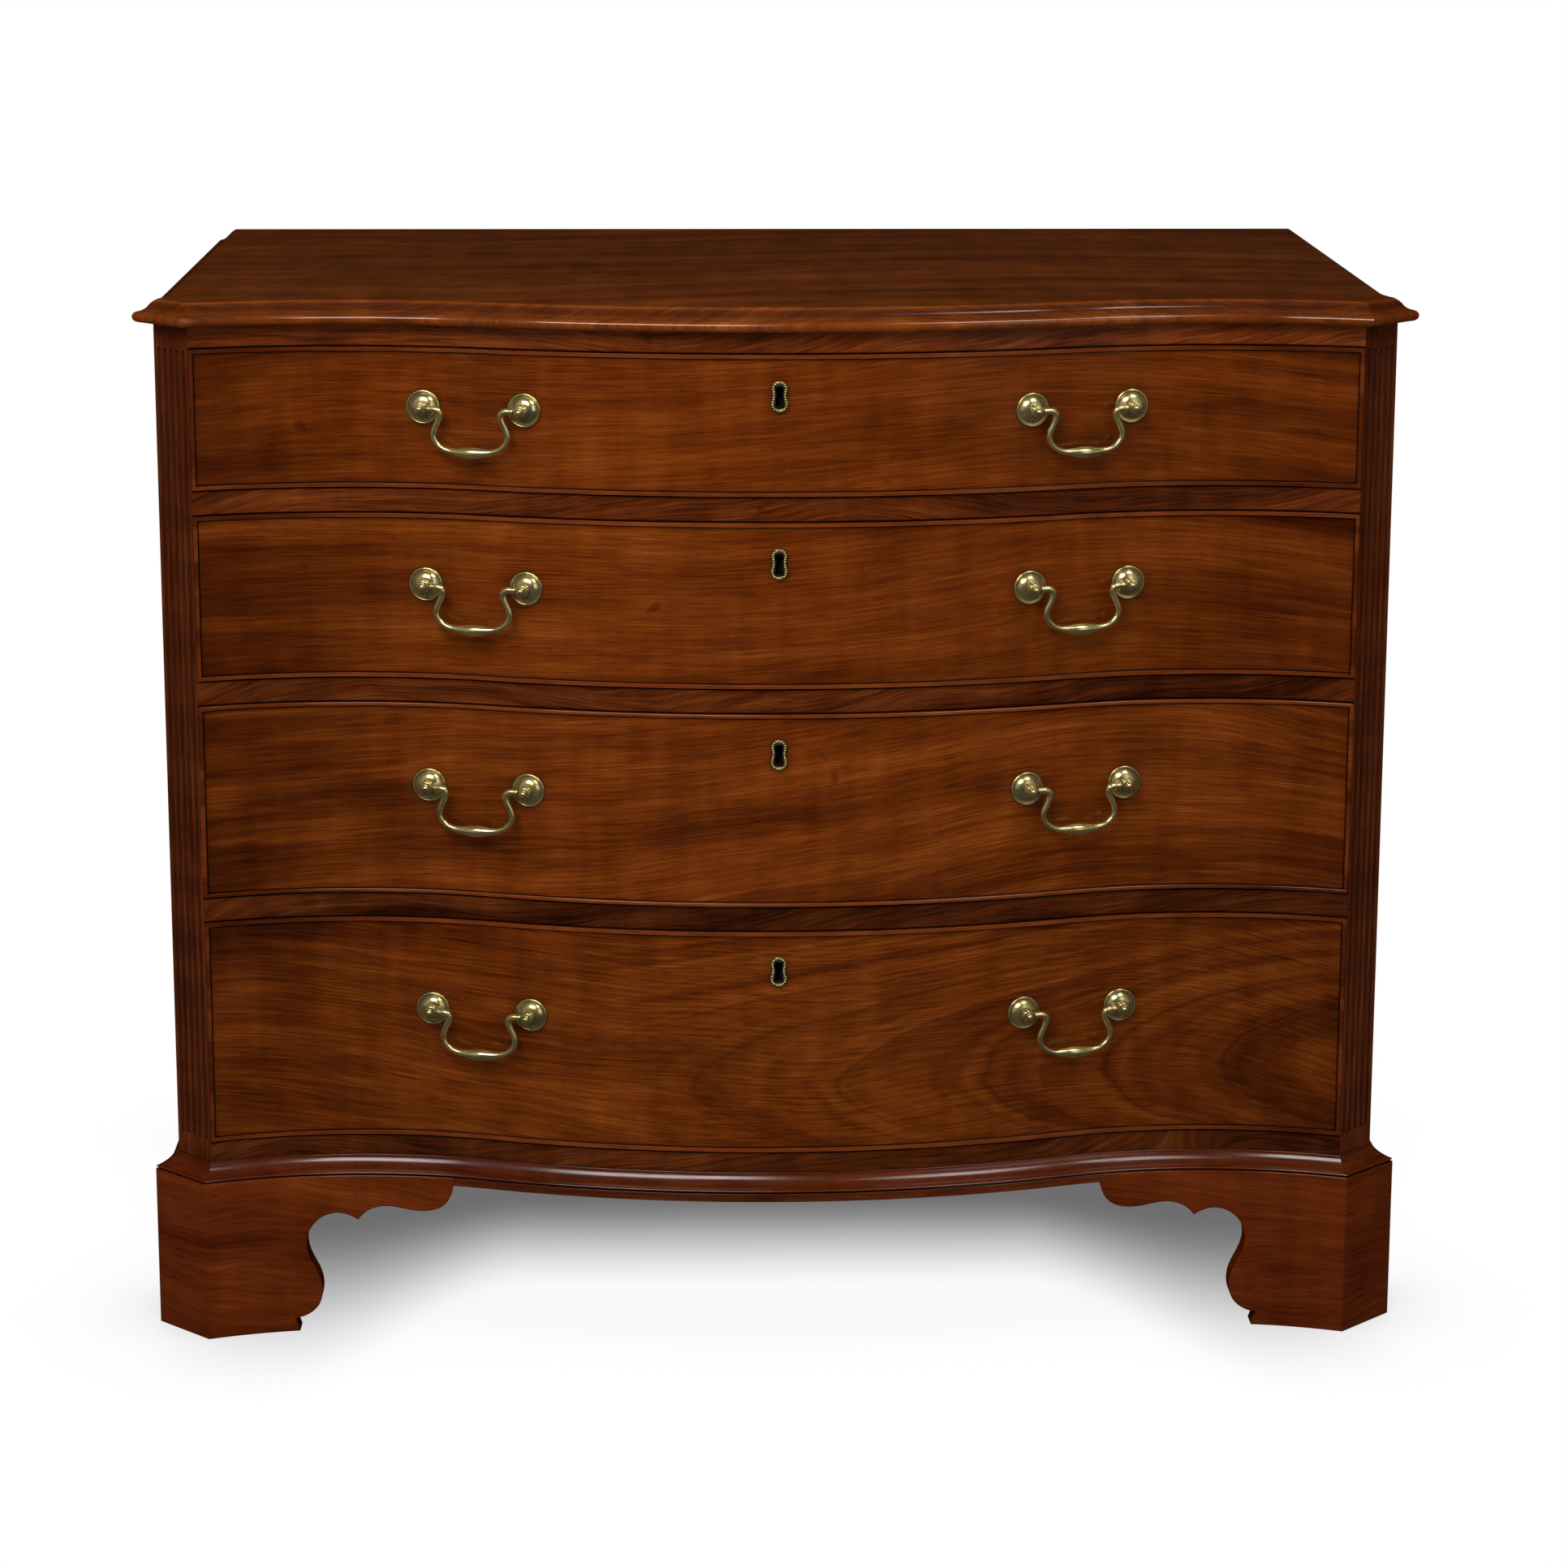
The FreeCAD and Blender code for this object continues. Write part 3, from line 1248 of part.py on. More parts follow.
    # Front, cut for its beads, dovetails, groove, lock and handles
    front_plan = slab_path(d.bead_depth * 0, -d.front_thickness, -drawer_x, drawer_x)
    front = padded(name + "front_rough", front_plan,
                   low, high - low)
    front = cut(name + "front_beaded", front, bead)
    front = cut(name + "front_tailed", front, pair)
    front = cut(name + "front_grooved", front, floor)
    front = cut(name + "front_mortised", front, case)
    front = cut(name + "front_keyed", front, hole)
    keep(cut(name + "front", front, group(name + "drills", holes)))

doc.recompute()

faults = []
for item in doc.Objects:
    if "Invalid" in item.State or "Error" in item.State:
        faults.append("%s: %s" % (item.Label, item.State))
for item in nodes:
    if item.Shape.isNull() or not item.Shape.isValid():
        faults.append("%s: bad shape" % item.Label)
if faults:
    raise RuntimeError("; ".join(faults))

os.makedirs("parts", exist_ok=True)
for item in nodes:
    item.Shape.exportStep("parts/%s.step" % item.Label)
    box = item.Shape.BoundBox
    print("%-26s %2d solids %12.1f mm3  x %8.2f %8.2f  y %8.2f %8.2f  z %8.2f %8.2f" % (
        item.Label, len(item.Shape.Solids), item.Shape.Volume,
        box.XMin, box.XMax, box.YMin, box.YMax, box.ZMin, box.ZMax))
print("%d pieces written" % len(nodes))
print("bail axis at %.4f %.4f, span %.4f, angle %.4f degrees" % (
    chord_middle.x, chord_middle.y, pin_span, chord_angle))
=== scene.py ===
import math

import bpy
from mathutils import Matrix, Vector


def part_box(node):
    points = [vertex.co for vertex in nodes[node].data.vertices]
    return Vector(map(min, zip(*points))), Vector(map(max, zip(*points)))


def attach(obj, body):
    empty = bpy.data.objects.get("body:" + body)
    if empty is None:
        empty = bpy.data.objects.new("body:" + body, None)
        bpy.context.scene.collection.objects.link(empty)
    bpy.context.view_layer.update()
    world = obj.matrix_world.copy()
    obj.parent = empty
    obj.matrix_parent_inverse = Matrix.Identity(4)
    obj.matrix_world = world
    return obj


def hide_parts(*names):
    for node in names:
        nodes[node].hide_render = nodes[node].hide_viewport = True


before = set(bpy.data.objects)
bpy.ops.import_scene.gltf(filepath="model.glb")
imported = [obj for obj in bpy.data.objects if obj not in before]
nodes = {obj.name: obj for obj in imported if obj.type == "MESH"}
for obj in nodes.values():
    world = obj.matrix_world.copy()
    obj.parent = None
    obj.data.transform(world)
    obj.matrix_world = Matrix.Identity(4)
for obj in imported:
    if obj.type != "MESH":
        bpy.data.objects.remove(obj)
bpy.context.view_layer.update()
scene = bpy.context.scene
scene.view_settings.view_transform = "Standard"

DRAWERS = (1, 2, 3, 4)

# Plan of the carcass: a bulge between two hollows, a cant at each corner and a short sweep into each side
BULGE = 0.768
HOLLOW = 0.378
OFFSET = 0.36
CANT = 0.031
FRONT_Y = -0.3158
BACK_Y = 0.3322
SIDE_X = 0.5075
RECESS = 0.0075
SWEEP_LENGTH = 0.038
BULGE_Y = FRONT_Y + BULGE
HOLLOW_Y = BULGE_Y - math.sqrt((BULGE + HOLLOW) ** 2 - OFFSET ** 2)
ARRIS_X = SIDE_X + RECESS - CANT
ARRIS_Y = HOLLOW_Y + math.sqrt(HOLLOW ** 2 - (ARRIS_X - OFFSET) ** 2)
SWEEP_Y = ARRIS_Y + CANT + SWEEP_LENGTH
SWEEP = (SWEEP_LENGTH ** 2 + RECESS ** 2) / (RECESS * 2)
BEND = math.asin(OFFSET / (BULGE + HOLLOW))

# Sine and cosine of the angle at which the cants stand
HALF = math.sqrt(0.5)

# Places and sizes on the carcass and the drawers
FLUTED_HALF = 0.0195
FLUTE_DEEP = 0.0013
HANDLE_Z = {1: 0.8005, 2: 0.652, 3: 0.4805, 4: 0.285}
BEAD_WIDE = 0.0032
KEYHOLE_DROP = 0.0342
BACK_BOARDS = 6

# Edges that turn by more than this stay crisp
SHARP = math.radians(28.0)


class Shader:
    """Builds the nodes of one material or of the world, step by step."""

    def __init__(self, block, output="ShaderNodeOutputMaterial"):
        self.block = block
        block.use_nodes = True
        self.tree = block.node_tree
        self.tree.nodes.clear()
        self.out = self.tree.nodes.new(output)

    def add(self, kind, inputs=None, **settings):
        node = self.tree.nodes.new(kind)
        for key, value in settings.items():
            setattr(node, key, value)
        for key, value in (inputs or {}).items():
            self.put(node.inputs[key], value)
        return node

    def put(self, socket, value):
        if isinstance(value, bpy.types.NodeSocket):
            self.tree.links.new(value, socket)
        else:
            socket.default_value = value

    def math(self, operation, first, second=None, third=None, clamp=False):
        node = self.add("ShaderNodeMath", operation=operation, use_clamp=clamp)
        for place, value in enumerate((first, second, third)):
            if value is not None:
                self.put(node.inputs[place], value)
        return node.outputs[0]

    def vector(self, operation, first, second):
        node = self.add("ShaderNodeVectorMath", operation=operation)
        self.put(node.inputs[0], first)
        self.put(node.inputs[1], second)
        return node.outputs[0]

    def mix(self, factor, first, second, blend="MIX"):
        node = self.add("ShaderNodeMix", data_type="RGBA", blend_type=blend)
        self.put(node.inputs["Factor"], factor)
        self.put(node.inputs[6], first)
        self.put(node.inputs[7], second)
        return node.outputs[2]

    def span(self, value, low, high, to_low=0.0, to_high=1.0):
        """Eases between two values while another one runs from low to high."""
        node = self.add("ShaderNodeMapRange", interpolation_type="SMOOTHSTEP")
        for place, item in enumerate((value, low, high, to_low, to_high)):
            self.put(node.inputs[place], item)
        return node.outputs[0]

    def noise(self, vector, scale, detail, roughness):
        inputs = {"Vector": vector, "Scale": scale, "Detail": detail, "Roughness": roughness}
        return self.add("ShaderNodeTexNoise", inputs).outputs[0]

    def ramp(self, factor, stops):
        node = self.add("ShaderNodeValToRGB", {"Fac": factor})
        marks = node.color_ramp.elements
        while len(marks) < len(stops):
            marks.new(0.5)
        for mark, (place, colour) in zip(marks, stops):
            mark.position = place
            mark.color = colour + (1.0,)
        return node.outputs[0]

    def place(self):
        return self.add("ShaderNodeTexCoord").outputs["Object"]

    def split(self, vector):
        return self.add("ShaderNodeSeparateXYZ", {"Vector": vector}).outputs

    def join(self, x, y, z):
        node = self.add("ShaderNodeCombineXYZ")
        for place, item in enumerate((x, y, z)):
            self.put(node.inputs[place], item)
        return node.outputs[0]

    def bump(self, height, strength, distance, normal=None):
        node = self.add("ShaderNodeBump", {"Height": height, "Strength": strength, "Distance": distance})
        if normal is not None:
            self.put(node.inputs["Normal"], normal)
        return node.outputs[0]

    def finish(self, **inputs):
        shader = self.add("ShaderNodeBsdfPrincipled")
        for key, value in inputs.items():
            self.put(shader.inputs[key.replace("_", " ")], value)
        self.tree.links.new(shader.outputs[0], self.out.inputs["Surface"])
        return self.block


def board_axes(s, along, seed):
    """Along the grain, across the board and through it, with a seed that sets boards apart."""
    parts = s.split(s.place())
    order = {"x": (0, 2, 1), "y": (1, 2, 0), "z": (2, 0, 1), "xy": (0, 1, 2), "zy": (2, 1, 0)}[along]
    run, wide, deep = [parts[k] for k in order]
    return run, wide, s.math("MULTIPLY_ADD", deep, 0.35, seed * 1.7)


def streaks(s, run, bent, deep, along, across, detail):
    """Noise drawn out along the grain; along and across are its scales per metre."""
    place = s.join(s.math("MULTIPLY", run, along), s.math("MULTIPLY", bent, across),
                   s.math("MULTIPLY", deep, 0.6 + across * 0.05))
    return s.noise(place, 1.0, detail, 0.55)


def swing(s, noise, amount):
    """A noise moved to run either side of zero, times an amount."""
    return s.math("MULTIPLY", s.math("SUBTRACT", noise, 0.5), amount)


def hill(s, run, middle, width):
    """A bell curve along the board."""
    off = s.math("DIVIDE", s.math("SUBTRACT", run, middle), width)
    return s.math("EXPONENT", s.math("MULTIPLY", s.math("MULTIPLY", off, off), -1.0))


def grain_field(s, run, wide, deep, sway, slope=0.0, bell=None):
    """Height across the grain after the growth of the tree has bent it; streaks follow its levels."""
    long_wave = streaks(s, run, wide, deep, 1.5, 3.0, 2.0)
    short_wave = streaks(s, run, wide, deep, 5.5, 12.0, 2.0)
    bent = s.math("ADD", wide, swing(s, long_wave, 0.12 * sway))
    bent = s.math("ADD", bent, swing(s, short_wave, 0.014 * sway))
    if slope:
        bent = s.math("MULTIPLY_ADD", run, -slope, bent)
    if bell:
        height, centre, width = bell
        bent = s.math("MULTIPLY_ADD", hill(s, run, centre, width), -height, bent)
    return bent


def arch_field(s, run, wide, deep, level):
    """Height above the middle of the arches, and distance along nested arches that open to the right."""
    rise = s.math("SUBTRACT", wide, level)
    bow = s.math("MULTIPLY_ADD", s.math("MULTIPLY", rise, rise), -30.0, run)
    return rise, s.math("ADD", bow, swing(s, streaks(s, run, wide, deep, 6.0, 9.0, 3.0), 0.09))


def arch_lines(s, bow, tip, gap):
    """A thin line and a soft band inside each arch, as a share of darkening."""
    turn = s.math("FRACT", s.math("DIVIDE", s.math("SUBTRACT", bow, tip - gap * 2.5), gap))
    far = s.math("ABSOLUTE", s.math("SUBTRACT", turn, 0.5))
    line = s.span(far, 0.06, 0.0, 0.0, 0.42)
    band = s.span(turn, 0.5, 1.0, 0.4, 0.0)
    band = s.math("MULTIPLY", band, s.math("GREATER_THAN", turn, 0.5))
    return s.math("ADD", line, band)


def joint_dirt_and_shade(s, low, high):
    """Painted shade and soiling in the joint round a field, given by its lowest and highest corners."""
    x, _, z = s.split(s.place())
    near = s.math("MINIMUM", s.math("SUBTRACT", x, low[0]), s.math("SUBTRACT", high[0], x))
    near = s.math("MINIMUM", near, s.math("SUBTRACT", z, low[2]))
    near = s.math("MINIMUM", near, s.math("SUBTRACT", high[2], z))
    return s.span(near, 0.0016, 0.0004, 0.0, 0.9)


def flute_depth(s):
    """How deep a point lies in the flutes of a cant, as a share of painted shade."""
    x, y, _ = s.split(s.place())
    over = s.math("SUBTRACT", s.math("ABSOLUTE", x), ARRIS_X)
    back = s.math("SUBTRACT", y, ARRIS_Y)
    deep = s.math("MULTIPLY", s.math("SUBTRACT", back, over), HALF)
    along = s.math("SUBTRACT", s.math("MULTIPLY", s.math("ADD", back, over), HALF), CANT * HALF)
    within = s.math("LESS_THAN", s.math("ABSOLUTE", along), FLUTED_HALF)
    return s.math("MULTIPLY", s.span(deep, 0.0001, FLUTE_DEEP, 0.0, 0.6), within)


# Tints that darken or gild the wood where a mark lies. The tints for the ends, the corners, the joints and
# the flutes paint shade, and those for the corners and the joints paint soiling as well
STREAK_TINT = (0.5, 0.4, 0.36, 1)
GOLD_TINT = (1.35, 1.5, 1.6, 1)
PORE_TINT = (0.35, 0.27, 0.24, 1)
KNOT_TINT = (0.35, 0.28, 0.25, 1)
ARCH_TINT = (0.5, 0.42, 0.38, 1)
BLOT_TINT = (0.42, 0.36, 0.36, 1)
END_SHADE_TINT = (0.42, 0.33, 0.3, 1)
GRIME_AND_SHADE_TINT = (0.16, 0.14, 0.16, 1)
JOINT_DIRT_AND_SHADE_TINT = (0.1, 0.07, 0.06, 1)
FLUTE_SHADE_TINT = (0.34, 0.42, 0.7, 1)
FIBRE_TINT = (0.5, 0.42, 0.34, 1)
STAIN_TINT = (0.45, 0.36, 0.28, 1)
AGE_TINT = (0.6, 0.55, 0.5, 1)
GAP_TINT = (0.08, 0.06, 0.05, 1)


def polished_wood(name, along, seed, tones, sway=1.0, slope=0.0, bell=None, arches=None, blot=None,
                  grime_and_shade=0.0, gloss=0.16, contrast=1.0, ends=0.0, shade=1.0, soft=0.0, reach=0.007,
                  field=None, flute_shade=False, dull=0.0, glaze=(1.0, 0.92, 0.8, 1.0), bands=()):
    """Old polished mahogany: long streaks, golden flecks, fine fibres, cross figure and a rubbed glaze.

    bell, arches and blot place the figure, ends paints shade that deepens towards the ends of the board,
    grime darkens its corners within reach as soiling and painted shade, soft rounds its edges in the light,
    dull takes the gloss off what faces up, field paints shade and soiling in the joints round a field,
    fluted paints shade in the flutes, and each of bands tints a level by its height, half its width and a
    tint.
    """
    s = Shader(bpy.data.materials.new(name))
    run, wide, deep = board_axes(s, along, seed)
    bent = grain_field(s, run, wide, deep, sway, slope, bell)
    if arches:
        tip, level, gap = arches
        rise, bow = arch_field(s, run, wide, deep, level)
        share = s.span(run, tip - gap * 1.5, tip + gap * 0.5)

    def grain(shift, along_scale, across_scale, detail):
        """Streaks that follow the grain, and the arches where there are any."""
        lines = streaks(s, run, bent, s.math("ADD", deep, shift), along_scale, across_scale, detail)
        if not arches:
            return lines
        curved = streaks(s, rise, bow, s.math("ADD", deep, shift), along_scale, across_scale * 0.34, detail)
        return s.math("MULTIPLY_ADD", s.math("SUBTRACT", curved, lines), share, lines)

    broad = grain(0.0, 1.1, 20.0, 3.0)
    strand = grain(0.0, 3.4, 130.0, 4.0)
    fibre = streaks(s, run, bent, deep, 24.0, 640.0, 2.0)
    figure = streaks(s, run, wide, deep, 42.0, 8.0, 2.0)
    mottle = grain(5.3, 9.0, 30.0, 3.0)
    tone = s.math("ADD", swing(s, broad, 0.55 * contrast), swing(s, strand, 0.28 * contrast))
    tone = s.math("ADD", tone, swing(s, fibre, 0.25 + 0.45 * contrast))
    tone = s.math("ADD", tone, swing(s, figure, 0.34))
    tone = s.math("ADD", tone, swing(s, mottle, 0.5 * contrast))
    shaded = [(at, tuple(value * shade for value in rgb)) for at, rgb in tones]
    colour = s.ramp(s.math("ADD", tone, 0.5), shaded)
    dark = s.span(grain(3.1, 1.7, 34.0, 3.0), 0.57, 0.76, 0.0, 0.56 * contrast)
    colour = s.mix(dark, colour, STREAK_TINT, "MULTIPLY")
    gold = s.span(grain(7.7, 2.6, 60.0, 2.0), 0.57, 0.72, 0.0, 0.46)
    colour = s.mix(gold, colour, GOLD_TINT, "MULTIPLY")
    pore = s.span(streaks(s, run, bent, deep, 80.0, 1150.0, 1.0), 0.6, 0.75)
    colour = s.mix(s.math("MULTIPLY", pore, 0.6), colour, PORE_TINT, "MULTIPLY")
    specks = s.noise(s.vector("ADD", s.place(), (seed, 0.0, seed)), 34.0, 1.0, 0.4)
    knot = s.span(specks, 0.77, 0.82, 0.0, 0.6)
    colour = s.mix(knot, colour, KNOT_TINT, "MULTIPLY")
    if arches:
        marks = s.math("MULTIPLY", arch_lines(s, bow, tip, gap), share)
        colour = s.mix(marks, colour, ARCH_TINT, "MULTIPLY")
    if blot:
        at_run, at_level, half_run, half_level = blot
        flat = s.math("DIVIDE", s.math("SUBTRACT", run, at_run), half_run)
        tall = s.math("DIVIDE", s.math("SUBTRACT", bent, at_level), half_level)
        far = s.math("ADD", s.math("MULTIPLY", flat, flat), s.math("MULTIPLY", tall, tall))
        torn = s.math("ADD", far, swing(s, strand, 1.6))
        colour = s.mix(s.span(torn, 1.3, 0.1, 0.0, 0.75), colour, BLOT_TINT, "MULTIPLY")
    # ends paints shade that deepens towards the ends of the board, ragged along the grain
    if ends:
        end_shade = s.span(s.math("ABSOLUTE", run), 0.22, 0.5, 0.0, ends)
        ragged = s.span(grain(11.0, 1.5, 30.0, 3.0), 0.4, 0.62, 0.45, 1.5)
        end_shade = s.math("MULTIPLY", end_shade, ragged, clamp=True)
        colour = s.mix(end_shade, colour, END_SHADE_TINT, "MULTIPLY")
    # grime paints soiling and shade: the wood darkens where ambient occlusion finds parts close by, in
    # corners, creases, joints and under overhangs
    if grime_and_shade:
        near = s.add("ShaderNodeAmbientOcclusion", {"Distance": reach}, samples=4)
        wide_near = s.add("ShaderNodeAmbientOcclusion", {"Distance": 0.03}, samples=4)
        dirt_and_shade = s.math("MAXIMUM", s.span(near.outputs["AO"], 0.86, 0.45, 0.0, grime_and_shade),
                      s.span(wide_near.outputs["AO"], 0.92, 0.5, 0.0, grime_and_shade * 0.6))
        colour = s.mix(dirt_and_shade, colour, GRIME_AND_SHADE_TINT, "MULTIPLY")
    # Bands tint levels by their height; on the top's edge they paint light and shade
    for level, half, tint in bands:
        off = s.math("ABSOLUTE", s.math("SUBTRACT", s.split(s.place())[2], level))
        colour = s.mix(s.span(off, half, half * 0.3, 0.0, 0.8), colour, tint, "MULTIPLY")
    # field paints shade and soiling in a thin line along the field's edges, where its joints lie
    if field:
        colour = s.mix(joint_dirt_and_shade(s, *field), colour, JOINT_DIRT_AND_SHADE_TINT, "MULTIPLY")
    # Painted shade, cool and grey, in the flutes of the cants, deepest at the bottom of each flute
    if flute_shade:
        colour = s.mix(flute_depth(s), colour, FLUTE_SHADE_TINT, "MULTIPLY")
    smear = s.noise(s.place(), 14.0, 3.0, 0.6)
    rough = s.span(smear, 0.3, 0.7, gloss, gloss + 0.06)
    rough = s.math("MULTIPLY_ADD", pore, 0.06, rough)
    if dull:
        facing = s.split(s.add("ShaderNodeNewGeometry").outputs["Normal"])[2]
        rough = s.math("ADD", rough, s.span(facing, 0.93, 0.99, 0.0, dull))
    dents = s.noise(s.place(), 70.0, 2.0, 0.5)
    waves = s.noise(s.place(), 16.0, 1.0, 0.4)
    height = s.math("MULTIPLY_ADD", pore, -0.06, s.math("MULTIPLY", dents, 0.08))
    height = s.math("MULTIPLY_ADD", waves, 0.2, height)
    edge = s.add("ShaderNodeBevel", {"Radius": soft}, samples=6).outputs[0] if soft else None
    normal = s.bump(height, 0.25, 0.0005, edge)
    return s.finish(Base_Color=colour, Roughness=rough, Normal=normal, IOR=1.46, Specular_Tint=glaze)


def dry_wood(name, along, seed, tones, boards=None):
    """Unpolished oak or pine: open grain and the dirt of use.

    boards gives the lowest edge and the step of boards that lie edge to edge.
    """
    s = Shader(bpy.data.materials.new(name))
    run, wide, deep = board_axes(s, along, seed)
    if boards:
        lowest, step = boards
        level = s.math("DIVIDE", s.math("SUBTRACT", wide, lowest), step)
        board = s.math("FLOOR", level)
        deep = s.math("MULTIPLY_ADD", board, 2.3, deep)
        off_edge = s.math("MULTIPLY", s.math("PINGPONG", level, 0.5), step)
    bent = grain_field(s, run, wide, deep, 0.4)
    rings = streaks(s, run, bent, deep, 1.4, 95.0, 4.0)
    fibre = streaks(s, run, bent, deep, 30.0, 1000.0, 2.0)
    dirt_and_shade = s.noise(s.place(), 6.0, 4.0, 0.6)
    colour = s.ramp(rings, tones)
    fibre_mark = s.span(fibre, 0.5, 0.72)
    colour = s.mix(s.math("MULTIPLY", fibre_mark, 0.4), colour, FIBRE_TINT, "MULTIPLY")
    colour = s.mix(s.span(dirt_and_shade, 0.5, 0.75, 0.0, 0.6), colour, STAIN_TINT, "MULTIPLY")
    if boards:
        age = s.span(s.math("FRACT", s.math("MULTIPLY", board, 0.618)), 0.0, 1.0, 0.0, 0.45)
        colour = s.mix(age, colour, AGE_TINT, "MULTIPLY")
        gap = s.span(off_edge, 0.0022, 0.0006, 0.0, 0.92)
        colour = s.mix(gap, colour, GAP_TINT, "MULTIPLY")
    rough = s.span(dirt_and_shade, 0.3, 0.7, 0.62, 0.8)
    normal = s.bump(s.math("MULTIPLY_ADD", rings, 0.6, fibre_mark), 0.4, 0.0006)
    return s.finish(Base_Color=colour, Roughness=rough, Normal=normal, IOR=1.45)


BRASS_TONES = ((0.25, (0.52, 0.41, 0.15)), (0.55, (0.65, 0.535, 0.23)), (0.8, (0.76, 0.645, 0.31)))
IRON_TONES = ((0.35, (0.16, 0.15, 0.14)), (0.6, (0.3, 0.29, 0.27)), (0.8, (0.2, 0.11, 0.06)))
TARNISH_COLOUR = (0.035, 0.026, 0.01, 1)
HOLE_SHADE_COLOUR = (0.0035, 0.003, 0.0025, 1)
HOLE_HALF_WIDE = 0.0038
HOLE_HALF_TALL = 0.0094


def aged_brass(name, seed, keyhole=None, tarnish=0.0):
    """Cast brass, bright where it is rubbed and dark in the hollows.

    keyhole gives the height of a hole and how far it runs in Y.
    """
    s = Shader(bpy.data.materials.new(name))
    place = s.vector("ADD", s.place(), (seed * 0.31, seed * 0.17, seed * 0.23))
    cloud = s.noise(place, 60.0, 3.0, 0.55)
    fine = s.noise(place, 900.0, 2.0, 0.5)
    hidden = s.add("ShaderNodeAmbientOcclusion", {"Distance": 0.004}, samples=6)
    dirt_and_shade = s.span(hidden.outputs["AO"], 0.85, 0.3, tarnish, 0.85)
    colour = s.ramp(cloud, BRASS_TONES)
    colour = s.mix(dirt_and_shade, colour, TARNISH_COLOUR)
    rough = s.span(cloud, 0.3, 0.75, 0.25, 0.19)
    rough = s.math("MULTIPLY_ADD", dirt_and_shade, 0.2, rough)
    metal = s.span(cloud, 0.25, 0.8, 0.88, 0.96)
    # The keyhole is painted near black, matt and not metal: painted shade where the hole runs into the lock
    if keyhole:
        x, y, z = s.split(s.place())
        middle, near, far = keyhole
        beside = s.math("LESS_THAN", s.math("ABSOLUTE", x), HOLE_HALF_WIDE)
        off = s.math("ABSOLUTE", s.math("SUBTRACT", z, middle))
        level = s.math("LESS_THAN", off, HOLE_HALF_TALL)
        within = s.math("MULTIPLY", s.math("GREATER_THAN", y, near), s.math("LESS_THAN", y, far))
        hole = s.math("MULTIPLY", s.math("MULTIPLY", beside, level), within)
        colour = s.mix(hole, colour, HOLE_SHADE_COLOUR)
        rough = s.math("MAXIMUM", rough, hole)
        metal = s.math("MULTIPLY", metal, s.math("SUBTRACT", 1.0, hole))
    normal = s.bump(fine, 0.03, 0.0001)
    return s.finish(Base_Color=colour, Metallic=metal, Roughness=rough, Normal=normal)


def dull_iron(name):
    """Dull iron with a little rust."""
    s = Shader(bpy.data.materials.new(name))
    rust = s.noise(s.place(), 160.0, 4.0, 0.65)
    colour = s.ramp(rust, IRON_TONES)
    rough = s.span(rust, 0.3, 0.7, 0.35, 0.6)
    return s.finish(Base_Color=colour, Metallic=1.0, Roughness=rough, Normal=s.bump(rust, 0.3, 0.0005))


# Tones run from the dark streaks to the light figure
FRONT_TONES = ((0.12, (0.04, 0.0058, 0.0007)), (0.34, (0.08, 0.0131, 0.0012)), (0.5, (0.116, 0.021, 0.0019)),
               (0.66, (0.155, 0.032, 0.0032)), (0.88, (0.225, 0.057, 0.007)))
BEAD_TONES = ((0.12, (0.055, 0.009, 0.0015)), (0.34, (0.09, 0.016, 0.0025)), (0.5, (0.125, 0.025, 0.004)),
              (0.66, (0.16, 0.036, 0.006)), (0.88, (0.21, 0.054, 0.009)))
RAIL_TONES = ((0.12, (0.02, 0.003, 0.0005)), (0.34, (0.046, 0.0076, 0.0012)), (0.5, (0.07, 0.0126, 0.002)),
              (0.66, (0.1, 0.0196, 0.0031)), (0.88, (0.15, 0.036, 0.006)))
FOOT_TONES = ((0.12, (0.035, 0.0045, 0.0005)), (0.34, (0.072, 0.01, 0.001)), (0.5, (0.1, 0.015, 0.0016)),
              (0.66, (0.13, 0.0216, 0.0025)), (0.88, (0.18, 0.036, 0.0048)))
TOP_TONES = ((0.12, (0.036, 0.0072, 0.0009)), (0.34, (0.078, 0.0164, 0.002)), (0.5, (0.112, 0.0244, 0.003)),
             (0.66, (0.15, 0.035, 0.0046)), (0.88, (0.22, 0.06, 0.009)))
STILE_TONES = ((0.12, (0.026, 0.004, 0.0008)), (0.34, (0.056, 0.0092, 0.0017)),
               (0.5, (0.082, 0.0146, 0.0028)), (0.66, (0.112, 0.0222, 0.0042)),
               (0.88, (0.165, 0.038, 0.008)))
OAK_TONES = ((0.3, (0.17, 0.088, 0.034)), (0.5, (0.27, 0.148, 0.06)), (0.7, (0.36, 0.21, 0.09)))
PINE_TONES = ((0.3, (0.25, 0.115, 0.042)), (0.5, (0.37, 0.19, 0.075)), (0.7, (0.48, 0.275, 0.12)))


